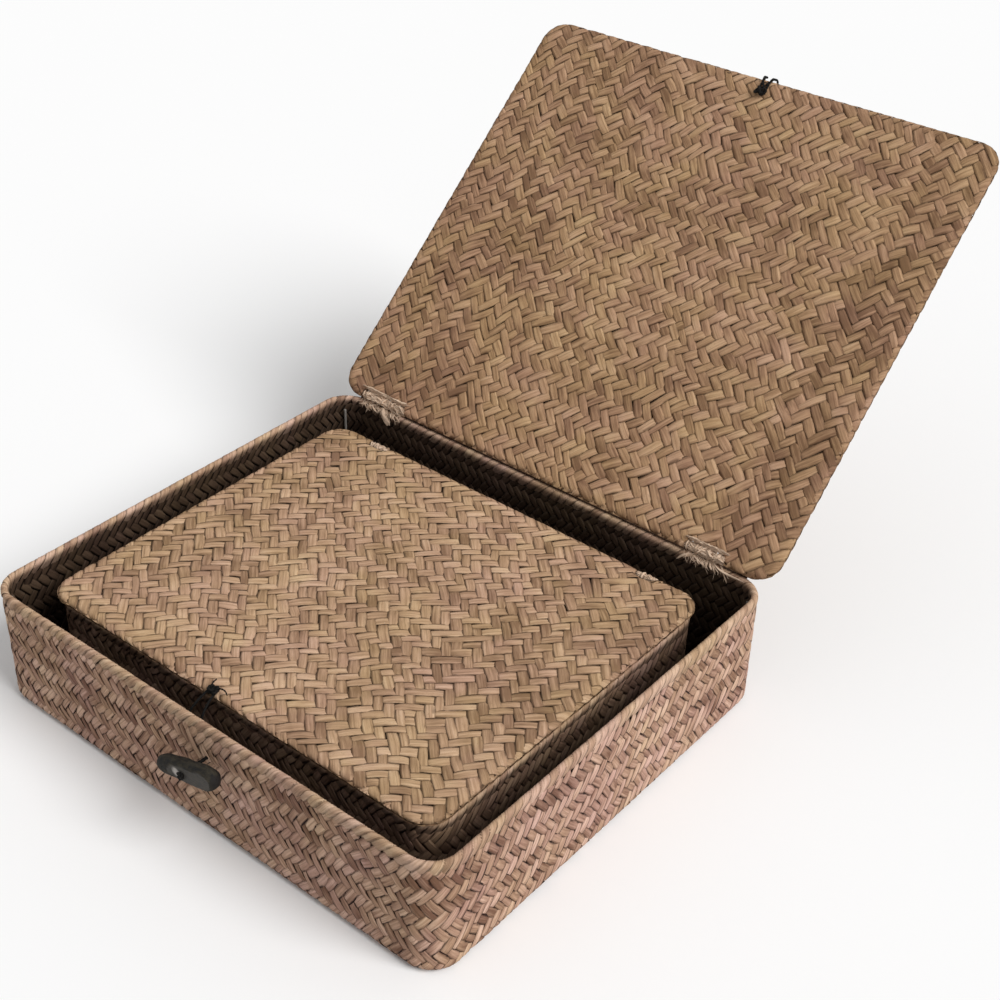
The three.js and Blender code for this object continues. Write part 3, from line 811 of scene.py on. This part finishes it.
for name, box in boxes.items():
    lining_high = box["height"] - rim_cover

    def lining_surface(u, v):
        point, outward = box["walk"](u * wall_squeeze)
        places = point + outward * lining_offset
        places[..., 2] = v
        return places, -outward

    # Painted shade: the lining turns towards its gap colour further below the rim.
    def lining_painted_shade(u, v):
        return 0.9 * np.clip((lining_high - v) / lining_dark_depth - 0.05, 0, 1)

    lining_walls = lay_strips(
        ring_floats(box["laid"], (lining_low, lining_high), box["pitch"], level_rows), box["pitch"],
        lining_surface, box["seed"] + 2, clamp_to_band(lining_low, lining_high), (6, 3), box["turns"],
        rise=0.00042, sink=-0.00025, dim=lining_painted_shade)
    lining = make_piece(f"{name}_plaited_lining", lining_walls, lining_grass, box["place"])
    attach(lining, f"{name}_box")
    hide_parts(f"{name}_lining")
    floor_strips = panel_strips(
        box["width"], box["depth"], box["corner"], floor_inset, flat_surface(-lining_offset, 1), level_rows,
        box["seed"] + 3, (6, 3))
    floor_piece = make_piece(f"{name}_plaited_floor", floor_strips, lining_grass, box["place"])
    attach(floor_piece, f"{name}_box")

# Rim
# The strips of both layers are turned over a wire along the top of the walls and tucked back in, so
# the rim is a rounded edge of slanted folds, a little paler than the walls, with painted shade on the
# folds where they turn down inside, and outside too on the nested box.
rim_grass = make_grass_material(
    "rim_grass", (0.24, 0.145, 0.100), (0.48, 0.315, 0.225), (0.68, 0.49, 0.37),
    (0.04, 0.022, 0.015), 0.42)
rim_half = wall_thickness / 2 + 0.0004
rim_radius = rim_half - strip_inset
rim_middle = -wall_thickness / 2
rim_turn = rim_radius * math.pi / 2
rim_reach = rim_turn + 0.0054
rim_core_half = rim_radius - 0.0006
rear_lifts = {"outer": 0.0002, "inner": 0.0}
rear_margin = 0.012
rear_fade = 0.01
rim_outside_shade = {"outer": 0.0, "inner": 1.0}

for name, box in boxes.items():
    rim_level = box["height"] - rim_half

    def rim_surface(u, v):
        point, outward = box["walk"](u * wall_squeeze)
        bend = np.clip(v / rim_radius, -math.pi / 2, math.pi / 2)
        leg = np.maximum(np.abs(v) - rim_turn, 0)
        from_corner = box["width"] / 2 - rear_margin - np.abs(point[..., 0])
        behind = np.clip(from_corner / rear_fade, 0, 1) * (point[..., 1] > 0)
        places = point + outward * (rim_middle - rim_radius * np.sin(bend))[..., None]
        places[..., 2] = rim_level + rim_radius * np.cos(bend) - leg + rear_lifts[name] * behind
        normals = -outward * np.sin(bend)[..., None]
        normals[..., 2] = np.cos(bend)
        return places, normals

    # Painted shade on the folds that turn down inside the wall, and for the nested box outside too.
    def rim_painted_shade(u, v):
        inside = np.clip((v - 0.5 * rim_turn) / rim_turn, 0, 1)
        outside = np.clip((-v - 0.3 * rim_turn) / rim_turn, 0, 1) * rim_outside_shade[name]
        return 2.4 * np.maximum(inside, outside)

    rim_strips = lay_strips(
        fold_floats(box["laid"], rim_reach, box["pitch"]), box["pitch"] * 1.08, rim_surface,
        box["seed"] + 4, clamp_to_band(-rim_reach, rim_reach), (18, 4), box["turns"], rise=0.00045,
        sink=-0.0006, spread=0.1, wander=make_wander(box["seed"] + 401, box["laid"]), dim=rim_painted_shade)
    rim_profile = [
        (rim_middle + rim_core_half * math.sin(angle), rim_level + rim_core_half * math.cos(angle))
        for angle in np.linspace(math.pi / 2, -math.pi / 2, 9)]
    rim_forms = [rim_strips, loft(box["walk"], box["round"], rim_profile, hoop=True)]
    if name == "outer":
        # A dark strip along the top of the rear rim: painted shade in the gap under the open lid.
        shadow_gap_half, shadow_gap_y = box["width"] / 2 - 0.016, box["depth"] / 2
        shadow_gap_near, shadow_gap_far = shadow_gap_y - 0.0006, shadow_gap_y + 0.0002
        shadow_gap_low, shadow_gap_high = box["height"] - 0.001, box["height"] + 0.0005
        shadow_gap_places = np.array([
            (x, y, z) for x in (-shadow_gap_half, shadow_gap_half)
            for y, z in ((shadow_gap_near, shadow_gap_low), (shadow_gap_far, shadow_gap_low),
                         (shadow_gap_far, shadow_gap_high), (shadow_gap_near, shadow_gap_high))])
        rim_forms.append(painted_shade_form(shadow_gap_places, tube_faces(2, 4)))
    rim = make_piece(f"{name}_rim_folds", join_forms(rim_forms), rim_grass, box["place"])
    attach(rim, f"{name}_box")
    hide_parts(f"{name}_rim_fold")

# Lids
# Each lid is two plaited mats laid back to back, their strips turned over a wire round the edge. The
# plait changes from level rows to upright columns towards the two sides, as the weaver turned it.
lid_edge_grass = make_grass_material(
    "lid_edge_grass", (0.20, 0.118, 0.076), (0.44, 0.282, 0.187), (0.64, 0.450, 0.320),
    (0.040, 0.022, 0.014), 0.95)
lid_strip_width = 0.0056
lid_half = 0.0026
lid_corner = 0.016
lid_depths = {"outer": 0.2964, "inner": 0.2390}
lid_widths = {"outer": 0.340, "inner": 0.291}
mat_inset = 0.0005
mat_level = lid_half - strip_inset - 0.0001
mat_turn_radius = 0.0020
mat_steepest = 0.95
# Painted sheen on the lid mats: one family of strips paler, the other darker, turned round for the lining.
mat_family_sheen = 0.06
border_width = 0.0030
edge_radius = lid_half - strip_inset - 0.0004
edge_turn = edge_radius * math.pi / 2
edge_reach = edge_turn + 0.0012
edge_tuck = 0.4
edge_dims = {"outer": 0.55, "inner": 0.9}
edge_bare = 0.0006
lid_core_inset = 0.0016
lid_core_half = 0.0012
lid_core_notch = 0.0046
notch_spares = {
    ("outer", "top"): 0.0014, ("outer", "lining"): -0.0008,
    ("inner", "top"): -0.0002, ("inner", "lining"): 0.0014,
}


def sides_turned(left, right, i, j, u, v):
    return np.where(left | right, upright_columns(i, j, u, v), level_rows(i, j, u, v))


def top_rule(i, j, u, v):
    return sides_turned(u < -0.038 - 0.85 * np.abs(v), u > 0.062 + 0.35 * np.abs(v), i, j, u, v)


def lining_rule(i, j, u, v):
    return sides_turned(u < -0.064 - 0.08 * v, u > 0.124, i, j, u, v)


def lining_shade(u, v):
    """The outer lid's lining is browner towards its two sides."""
    return np.where(u > 0.124, -0.12, 0.0) - 0.10 * np.clip((-0.06 - u) / 0.05, 0, 1)


def top_shade(u, v):
    """The inner lid's top is a little browner at both ends."""
    return -0.10 * np.clip((-0.05 - u) / 0.05, 0, 1) - 0.06 * np.clip((u - 0.06) / 0.04, 0, 1)


lid_shades = {("outer", "lining"): lining_shade, ("inner", "top"): top_shade}


def edge_distance(half_width, half_depth, u, v):
    """How far a point on a lid lies inside its outline, and which way the outline is."""
    past_u = np.abs(u) - (half_width - lid_corner)
    past_v = np.abs(v) - (half_depth - lid_corner)
    reach = np.maximum(np.hypot(past_u, past_v), 1e-9)
    on_corner = (past_u > 0) & (past_v > 0)
    by_side = past_u > past_v
    inset = lid_corner - np.where(on_corner, reach, np.maximum(past_u, past_v))
    out_u = np.sign(u) * np.where(on_corner, past_u / reach, by_side)
    out_v = np.sign(v) * np.where(on_corner, past_v / reach, ~by_side)
    return inset, out_u, out_v


def lid_face(half_width, half_depth, up):
    """One face of a lid: flat, and turned over the edge wire along its border."""
    def surface(u, v):
        inset, out_u, out_v = edge_distance(half_width, half_depth, u, v)
        lean_out = np.clip((lid_half - inset) / mat_turn_radius, 0, mat_steepest)
        upright = np.sqrt(1 - lean_out ** 2)
        places = np.stack([u, v, up * (mat_level - mat_turn_radius * (1 - upright))], axis=-1)
        return places, np.stack([out_u * lean_out, out_v * lean_out, up * upright], axis=-1)
    return surface


def by_lashing(box, x, spare=0.0):
    """True where a place along the rear edge lies at a hinge lashing."""
    return np.any([(x > left - spare) & (x < right + spare) for left, right in box["lashings"]], axis=0)


for name, box in boxes.items():
    width, depth = lid_widths[name], lid_depths[name]
    lid_place = lid_places[name] @ Matrix.Translation((0, lid_half - depth / 2, 0))
    for face, up, seed, rule, grass, notch_reach in (
            ("top", 1, 5, top_rule, plait_grass, 0.0044),
            ("lining", -1, 6, lining_rule, lid_lining_grass, 0.0046)):
        notch_low = depth / 2 - lid_half - notch_reach
        notch_spare = notch_spares[name, face]
        under_edge = (name, face) == ("inner", "lining")
        border_dim, border_fade = (0.75, 0.0010) if under_edge else (0.25, 0.0012)

        def border_shadow(u, v):
            inset = edge_distance(width / 2, depth / 2, u, v)[0]
            return border_dim * np.clip((border_width - inset) / border_fade, 0, 1)

        def cut_notches(u, v):
            return u, np.where(by_lashing(box, u, notch_spare), np.minimum(v, notch_low), v)

        mat = panel_strips(
            width, depth, lid_corner, mat_inset, lid_face(width / 2, depth / 2, up), rule,
            box["seed"] + seed, (8, 4), pitch=lid_strip_width, notch=cut_notches, lean=mat_family_sheen * up,
            shade=lid_shades.get((name, face)), dim=border_shadow)
        mat_piece = make_piece(f"{name}_lid_{face}_plait", mat, grass, lid_place)
        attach(mat_piece, f"{name}_lid")
        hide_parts(f"{name}_lid_{face}_mat")

    edge_walk, edge_length = rounded_outline(width, depth, lid_corner)
    edge_turns = round(edge_length / (strip_width * root_two))
    edge_pitch = edge_length / (edge_turns * root_two)

    def edge_surface(u, v):
        point, outward = edge_walk(u)
        bend = np.clip(v / edge_radius, -math.pi / 2, math.pi / 2)
        leg = np.maximum(np.abs(v) - edge_turn, 0)
        places = point + outward * (edge_radius * np.cos(bend) - lid_half - leg)[..., None]
        places[..., 2] = edge_radius * np.sin(bend) - np.sign(v) * edge_tuck * leg
        normals = outward * np.cos(bend)[..., None]
        normals[..., 2] = np.sin(bend)
        return places, normals

    # Painted shade over the whole edge fold, heavier on the inner lid, which lies in the shade of the outer
    # box.
    def lid_edge_painted_shade(u, v):
        return np.full_like(v, edge_dims[name])

    edge_floats = fold_floats(edge_length, edge_reach, edge_pitch)
    on_edge = edge_walk(edge_floats["u"])[0]
    notched = by_lashing(box, on_edge[:, 0], edge_bare) & (on_edge[:, 1] > 0)
    edge_strips = lay_strips(
        choose(edge_floats, ~notched), edge_pitch * 0.98, edge_surface, box["seed"] + 7,
        clamp_to_band(-edge_reach, edge_reach), (18, 4), edge_turns, rise=0.00045, sink=-0.0008,
        spread=0.1, wander=make_wander(box["seed"] + 402, edge_length), dim=lid_edge_painted_shade)

    core_walk, core_length = rounded_outline(
        width - 2 * lid_core_inset, depth - 2 * lid_core_inset, lid_corner - lid_core_inset)
    round_core = core_walk(np.linspace(0, core_length, 240, endpoint=False))[0][:, :2]
    in_notch = by_lashing(box, round_core[:, 0]) & (round_core[:, 1] > 0)
    outline = [tuple(place) for place in round_core[~in_notch]]
    rear = depth / 2 - lid_core_inset
    low = rear - lid_core_notch
    for left_x, right_x in box["lashings"]:
        middle_x = (left_x + right_x) / 2
        step = next(
            k for k in range(len(outline) - 1)
            if outline[k][1] > rear - 1e-6 and outline[k][0] > middle_x > outline[k + 1][0])
        outline[step + 1:step + 1] = [(right_x, rear), (right_x, low), (left_x, low), (left_x, rear)]
    core_places = np.concatenate([
        np.column_stack([outline, np.full(len(outline), z)]) for z in (-lid_core_half, lid_core_half)])
    edge_form = join_forms([edge_strips, painted_shade_form(core_places, tube_faces(2, len(outline)))])
    edge = make_piece(f"{name}_lid_edge_folds", edge_form, lid_edge_grass, lid_place)
    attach(edge, f"{name}_lid")
    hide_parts(f"{name}_lid_edge_fold")

# Wires
# Iron wire runs inside the rim and the lid edge, brown with rust where the lashings bare it, and a
# galvanised upright stands in each corner of the boxes, dull grey with rust starting in places.
rust_colour = (0.11, 0.06, 0.035)


def make_wire_finish(name, dull, bright, shine):
    finish, tree, shader = start_material(name)
    where = add_node(tree, "ShaderNodeTexCoord").outputs["Object"]
    mottle = noise(tree, where, 420.0, 4.0)
    rusted = map_range(tree, noise(tree, where, 70.0, 3.0), 0.55, 0.75)
    colour = mix_colours(tree, rusted, mix_colours(tree, mottle, dull, bright), rust_colour)
    set_inputs(tree, shader, {
        "Base Color": colour, "Roughness": map_range(tree, mottle, low=0.6, high=0.85),
        "Metallic": shine, "Specular IOR Level": shine})
    return finish


bare_wire = make_wire_finish("bare_wire", (0.19, 0.172, 0.155), (0.34, 0.31, 0.28), 0.12)
hidden_wire = make_wire_finish("hidden_wire", (0.040, 0.026, 0.018), (0.11, 0.075, 0.052), 0.1)
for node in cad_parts:
    if "_wire" in node or "_stay_" in node:
        wire_mesh = bpy.data.objects[node].data
        wire_mesh.materials.clear()
        wire_mesh.materials.append(bare_wire if "_stay_" in node else hidden_wire)

# Hinge lashings
# Each lid is tied to its rim at two places with pale raffia, laid along and wound round the lid wire
# and the rim and left with ragged ends. There is no pin: the raffia itself is the hinge.
pale_twine = make_thread_material(
    "pale_twine", (0.27, 0.165, 0.100), (0.62, 0.44, 0.305), (0.90, 0.71, 0.55), 0.8, 0.1)
ribbon_counts = {"outer": 84, "inner": 26}
lid_side_counts = {"outer": 34, "inner": 0}
wrap_counts = {"outer": 5, "inner": 2}
spill_counts = {"outer": 11, "inner": 3}
hair_counts = {"outer": 26, "inner": 8}
lashing_scales = {"outer": 1.0, "inner": 0.8}
laid_reach = 0.0019
laid_width = 0.0017
ribbon_widths = (0.0006, 0.0017)
broad_widths = (0.0008, 0.0018)
hair_widths = (0.00025, 0.0005)
lid_side_start = 0.0036
lid_side_end = 0.0057
past_lid_edge = 0.0045
loose_tails = {
    ("outer", "left"): (
        (0.0042, [(1.0, -1.6, -2.6), (3.0, -4.8, -4.2), (5.5, -5.6, -7.0), (9.0, -6.2, -11.0)]),
        (0.0026, [(-0.2, -2.2, -3.0), (1.8, -5.4, -4.6), (4.3, -6.2, -7.4), (7.8, -6.8, -11.4)])),
    ("outer", "right"): (
        (0.0014, [(6.0, -2.0, -2.4), (13.0, -4.6, -3.5), (21.0, -4.9, -4.0), (30.0, -5.0, -3.8)]),),
}


def raffia(points, width, steps, random, flat=0.7):
    """Flat strand through the points, twisting slowly and narrowing to its ends."""
    path = smooth_path(points, steps)
    thin = np.interp(np.linspace(0, 1, len(path)), (0, 0.12, 0.85, 1), (0.3, 1, 0.95, 0.2))
    strand = twisted_tube(
        path, width, lay=random.uniform(0.02, 0.05), sides=8, groove=flat, taper=thin,
        tone=random.uniform(0, 1))
    strand["hollow"] = np.full(len(strand["hollow"]), np.clip(random.normal(0.18, 0.26), 0, 1))
    return strand


def beside_hinge(hinge, x, reach, lean):
    """Places round the hinge line, at a reach from it and an angle up from the front."""
    front, up = np.broadcast_to(reach, (2, len(x)))
    return np.stack([x, hinge.y - front * np.cos(lean), hinge.z + up * np.sin(lean)], axis=1)


for name, box in boxes.items():
    random = np.random.default_rng(box["seed"] + 8)
    hinge = hinges[name]
    scale = lashing_scales[name]
    for side, (left_x, right_x) in zip(("left", "right"), box["lashings"]):
        middle_x = (left_x + right_x) / 2 + box["place"].translation.x
        middle = np.array((middle_x, hinge.y, hinge.z))
        span = (right_x - left_x) / 2
        forms = []
        for lean in np.linspace(-1.3, 2.4, 9):
            reach = laid_reach + random.normal(0, 0.0002, (2, 6))
            points = beside_hinge(hinge, middle_x + np.linspace(-1.04, 1.04, 6) * span, scale * reach, lean)
            forms.append(raffia(points, scale * laid_width, 22, random))
        for _ in range(ribbon_counts[name]):
            start_x = random.uniform(-1, 0.7) * span
            end_x = min(start_x + random.uniform(0.3, 1.1) * span, span)
            lean = random.uniform(-1.4, 2.5) + np.linspace(-0.5, 0.5, 6) * random.normal(0, 1.5)
            reach = random.uniform(0.0014, 0.0030) + random.normal(0, 0.00035, 6)
            points = beside_hinge(hinge, middle_x + np.linspace(start_x, end_x, 6), scale * reach, lean)
            forms.append(raffia(points, scale * random.uniform(*ribbon_widths), 22, random))
        for _ in range(lid_side_counts[name]):
            reach = random.uniform(lid_side_start, lid_side_end) + random.normal(0, 0.00025, 6)
            overhang = 1.1 if reach.min() > past_lid_edge else 0.96
            start_x = max(random.uniform(-1.7, 0.3), -overhang) * span
            end_x = min(start_x + random.uniform(0.4, 1.4) * span, overhang * span)
            lean = 1.98 - 110 * (reach - lid_side_start) + random.normal(0, 0.05, 6)
            points = beside_hinge(hinge, middle_x + np.linspace(start_x, end_x, 6), scale * reach, lean)
            forms.append(raffia(points, scale * random.uniform(*broad_widths), 22, random))
        for _ in range(wrap_counts[name]):
            turned = np.linspace(0, full_turn * random.uniform(0.8, 1.7), 16)
            first_x = middle_x + random.uniform(-0.95, 0.7) * span
            radius = scale * (random.uniform(0.0026, 0.0031) + random.normal(0, 0.0001, 16))
            along = turned * random.uniform(-0.0010, 0.0012)
            points = beside_hinge(hinge, first_x + along, radius, turned + 0.6 - math.pi / 2)
            forms.append(raffia(points, scale * random.uniform(*broad_widths), 44, random))
        for _ in range(spill_counts[name]):
            first = middle + (random.uniform(-1.0, 0.8) * span, 0, 0)
            along = random.normal(0.003, 0.007) * scale
            drop = random.exponential(0.0014) * scale
            points = first + np.array([
                (0, -0.0012, -0.0024), (0.3 * along, -0.0032, -0.0031), (0.6 * along, -0.0050, -0.0042),
                (along, -0.0055, -0.0052 - drop)])
            forms.append(raffia(points, scale * random.uniform(*broad_widths), 18, random))
        for _ in range(hair_counts[name]):
            first = middle + (random.uniform(-1.0, 0.9) * span, 0, 0)
            length = scale * random.uniform(0.003, 0.009) * random.choice((-0.5, 1, 1))
            fall = random.exponential(0.0016)
            curl = random.normal(0, 0.0008, 3)
            points = first + np.array([
                (0, -0.0022, -0.0022), (0.4 * length + curl[0], -0.0040, -0.0034),
                (0.8 * length + curl[1], -0.0052, -0.0044 - 0.4 * fall),
                (length + curl[2], -0.0058, -0.0048 - fall)])
            forms.append(raffia(points, random.uniform(*hair_widths), 12, random, flat=0.2))
        for width, tail in loose_tails.get((name, side), ()):
            forms.append(raffia(middle + np.array(tail) / 1000, width, 30, random))
        lashing = make_piece(f"{name}_lashing_{side}", join_forms(forms), pale_twine)
        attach(lashing, f"{name}_box")
        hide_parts(f"{name}_hinge_lashing_{side}")

# Toggles
# A short whittled stick with its bark on hangs in front of each box on a black cord, which runs through
# the stick and the wall and is knotted at both ends. A flat is shaved on the stick's lower front.
toggle_length = 0.046
toggle_radius = 0.0067
toggle_taper = 0.12
toggle_tilt = math.radians(15)
knob_height = 0.012
toggle_rows = 64
toggle_sides = 44
flat_depth = 0.0028
flat_start = -0.008
flat_run = 0.006
shaving = 0.0003
spot_x = -0.0050
spot_z = 0.0004
spot_radius = 0.0027
tether_diameter = 0.0022
tether_end = 0.0006
stop_width = 0.0056
stop_cord = 0.0018

bark, bark_tree, bark_shader = start_material("bark")
bark_ridges = streaks(bark_tree, (230, 420, 420), 5.0, 0.65)
bark_grain = streaks(bark_tree, (120, 1500, 1500), 4.0, 0.65)
bark_mask = map_range(bark_tree, bark_ridges, 0.42, 0.66)
bark_colour = mix_colours(bark_tree, bark_mask, (0.003, 0.0026, 0.002), (0.036, 0.030, 0.020))
wood_colour = mix_colours(bark_tree, bark_grain, (0.34, 0.30, 0.27), (0.80, 0.75, 0.70))
toggle_colour = mix_colours(bark_tree, attribute(bark_tree, "tone"), bark_colour, wood_colour)
toggle_colour = mix_colours(bark_tree, attribute(bark_tree, "hollow"), toggle_colour, (0.010, 0.008, 0.007))
bark_relief = add_node(bark_tree, "ShaderNodeBump", {
    "Strength": 1.0, "Distance": 0.0011, "Height": bark_ridges})
set_inputs(bark_tree, bark_shader, {
    "Base Color": toggle_colour, "Roughness": map_range(bark_tree, bark_ridges, low=0.55, high=0.9),
    "Normal": bark_relief.outputs[0], "Specular IOR Level": 0.22})


def tied_knot(width, depth, height, cord, place):
    """Closed overhand knot drawn up tight round a place."""
    t = np.linspace(0, full_turn, 97)
    path = np.stack([
        np.sin(t) + 2 * np.sin(2 * t), np.cos(t) - 2 * np.cos(2 * t), -1.4 * np.sin(3 * t)], axis=1)
    reach = np.array((3.0, 3.0, 1.4))
    half = np.array((width - cord, height - cord, depth - cord)) / 2
    path = path / reach * half
    knot = twisted_tube(path[:, (0, 2, 1)], cord, lay=0.004, sides=9, groove=0.25)
    return {**knot, "places": knot["places"] + np.array(place)}


for name, box in boxes.items():
    random = np.random.default_rng(box["seed"] + 9)
    centre = np.array(box["place"] @ box["toggle"])
    u = -np.cos(np.linspace(0.03, math.pi - 0.03, toggle_rows))
    around = np.linspace(0, full_turn, toggle_sides, endpoint=False)
    grid_u, grid_a = np.meshgrid(u, around, indexing="ij")
    fullness = np.sqrt(np.maximum(0, 1 - np.abs(grid_u) ** 7))
    radius = toggle_radius * (1 - toggle_taper * (1 - grid_u)) * fullness
    knobs = np.zeros_like(radius)
    for _ in range(14):
        knobs += random.uniform(0.3, 1) * np.sin(
            grid_u * random.uniform(2, 14) + random.integers(1, 6) * grid_a + random.uniform(0, 6))
    radius = radius * (1 + knob_height * knobs)
    x = grid_u * toggle_length / 2
    y = -radius * np.cos(grid_a)
    z = radius * np.sin(grid_a)
    flat_fade = np.clip((flat_start - x) / flat_run, 0, 1)
    shaved = np.maximum(-y - (toggle_radius - flat_depth + flat_depth * flat_fade), 0)
    y = y + shaved
    bare = np.clip(shaved / shaving, 0, 1)
    spot = np.exp(-((x - spot_x) / spot_radius) ** 2 - ((z - spot_z) / spot_radius) ** 2) * (y < 0)
    bare = 0.11 * bare + 0.89 * np.clip(spot * 3.2 - 0.9, 0, 1) * bare
    end = np.clip((np.abs(grid_u) - 0.93) / 0.05, 0, 1)
    places = np.stack([x, y, z], axis=-1).reshape(-1, 3)
    faces = [group[:, ::-1] for group in tube_faces(toggle_rows, toggle_sides)]
    form = {
        "places": places, "faces": faces, "fibre": places, "tone": bare.ravel(), "hollow": end.ravel(),
    }
    tilt = Matrix.Translation(centre) @ Matrix.Rotation(-toggle_tilt, 4, "Y")
    bar = make_piece(f"{name}_toggle_stick", form, bark, tilt)
    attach(bar, f"{name}_toggle")
    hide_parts(f"{name}_toggle_bar")

    wall_inside = -box["depth"] / 2 + wall_thickness + box["place"].translation.y
    bar_front = centre[1] - toggle_radius + flat_depth
    tether_start = (centre[0], bar_front - tether_end, centre[2])
    tether_stop = (centre[0], wall_inside + tether_end, centre[2])
    tether_form = twisted_tube(np.linspace(tether_start, tether_stop, 30), tether_diameter, groove=0.2)
    tether = make_piece(f"{name}_toggle_cord", tether_form, black_cord)
    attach(tether, f"{name}_box")
    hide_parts(f"{name}_toggle_tether")
    stops = (("front", bar_front - 0.0012, 0.0026), ("inner", wall_inside + 0.0026, 0.0040))
    for end_name, y_place, depth in stops:
        stop = tied_knot(stop_width, depth, stop_width, stop_cord, (centre[0], y_place, centre[2]))
        stop_knot = make_piece(f"{name}_toggle_{end_name}_tie", stop, black_cord)
        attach(stop_knot, f"{name}_box")
        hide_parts(f"{name}_toggle_{end_name}_knot")

# Lid knots
# The loops are knotted through the plait: under the front edge of the outer lid, with four strands
# over the edge, and on top of the inner lid, with two short tails standing up.
outer_edge = np.array((outer_loop_x, lid_fronts["outer"], 0))
inner_edge = np.array((inner_loop_x, lid_fronts["inner"] + 0.0014, 0))
tail_diameter = 0.0013
knot_forms = [tied_knot(0.0094, 0.0056, 0.0046, 0.0018, outer_edge + (0, 0.0098, -0.0049))]
for way in (-1, 1):
    beside = [
        (1.5, 9.8, -4.9), (2.0, 9.5, -4.0), (2.5, 7.6, -3.4), (2.5, 4.5, -3.3), (2.5, 0.8, -3.1),
        (2.5, -1.7, -1.6), (3.0, -2.5, 0.0), (4.6, -2.5, 0.0)]
    crossing = [
        (3.0, 9.2, -4.6), (0.6, 6.4, -3.7 - 0.4 * way), (-2.6, 1.6, -3.3), (-3.6, -1.6, -2.0),
        (-4.2, -2.6, 0.2)]
    for points, steps in ((beside, 44), (crossing, 36)):
        strand = smooth_path(outer_edge + np.array(points) / 1000 * (way, 1, 1), steps)
        knot_forms.append(twisted_tube(strand, loop_diameter, loop_lay))
outer_knot = make_piece("outer_lid_knot", join_forms(knot_forms), black_cord, lid_places["outer"])
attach(outer_knot, "outer_lid")
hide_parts("outer_loop_knot")

knot_forms = [tied_knot(0.0084, 0.0062, 0.0048, 0.0019, inner_edge + (0, 0, 0.0041))]
for tail in (
        [(-1.5, 0, 5.2), (-2.4, 2.2, 6.4), (-2.8, 5.2, 6.7)],
        [(1.5, 0, 5.2), (4.0, 1.2, 6.4), (7.2, 1.8, 6.2), (9.2, 1.4, 4.4)]):
    path = smooth_path(inner_edge + np.array(tail) / 1000, 24)
    knot_forms.append(twisted_tube(path, tail_diameter, lay=0.0035, taper=np.linspace(1, 0.6, len(path))))
inner_knot = make_piece("inner_lid_knot", join_forms(knot_forms), black_cord, lid_places["inner"])
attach(inner_knot, "inner_lid")
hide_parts("inner_loop_knot")
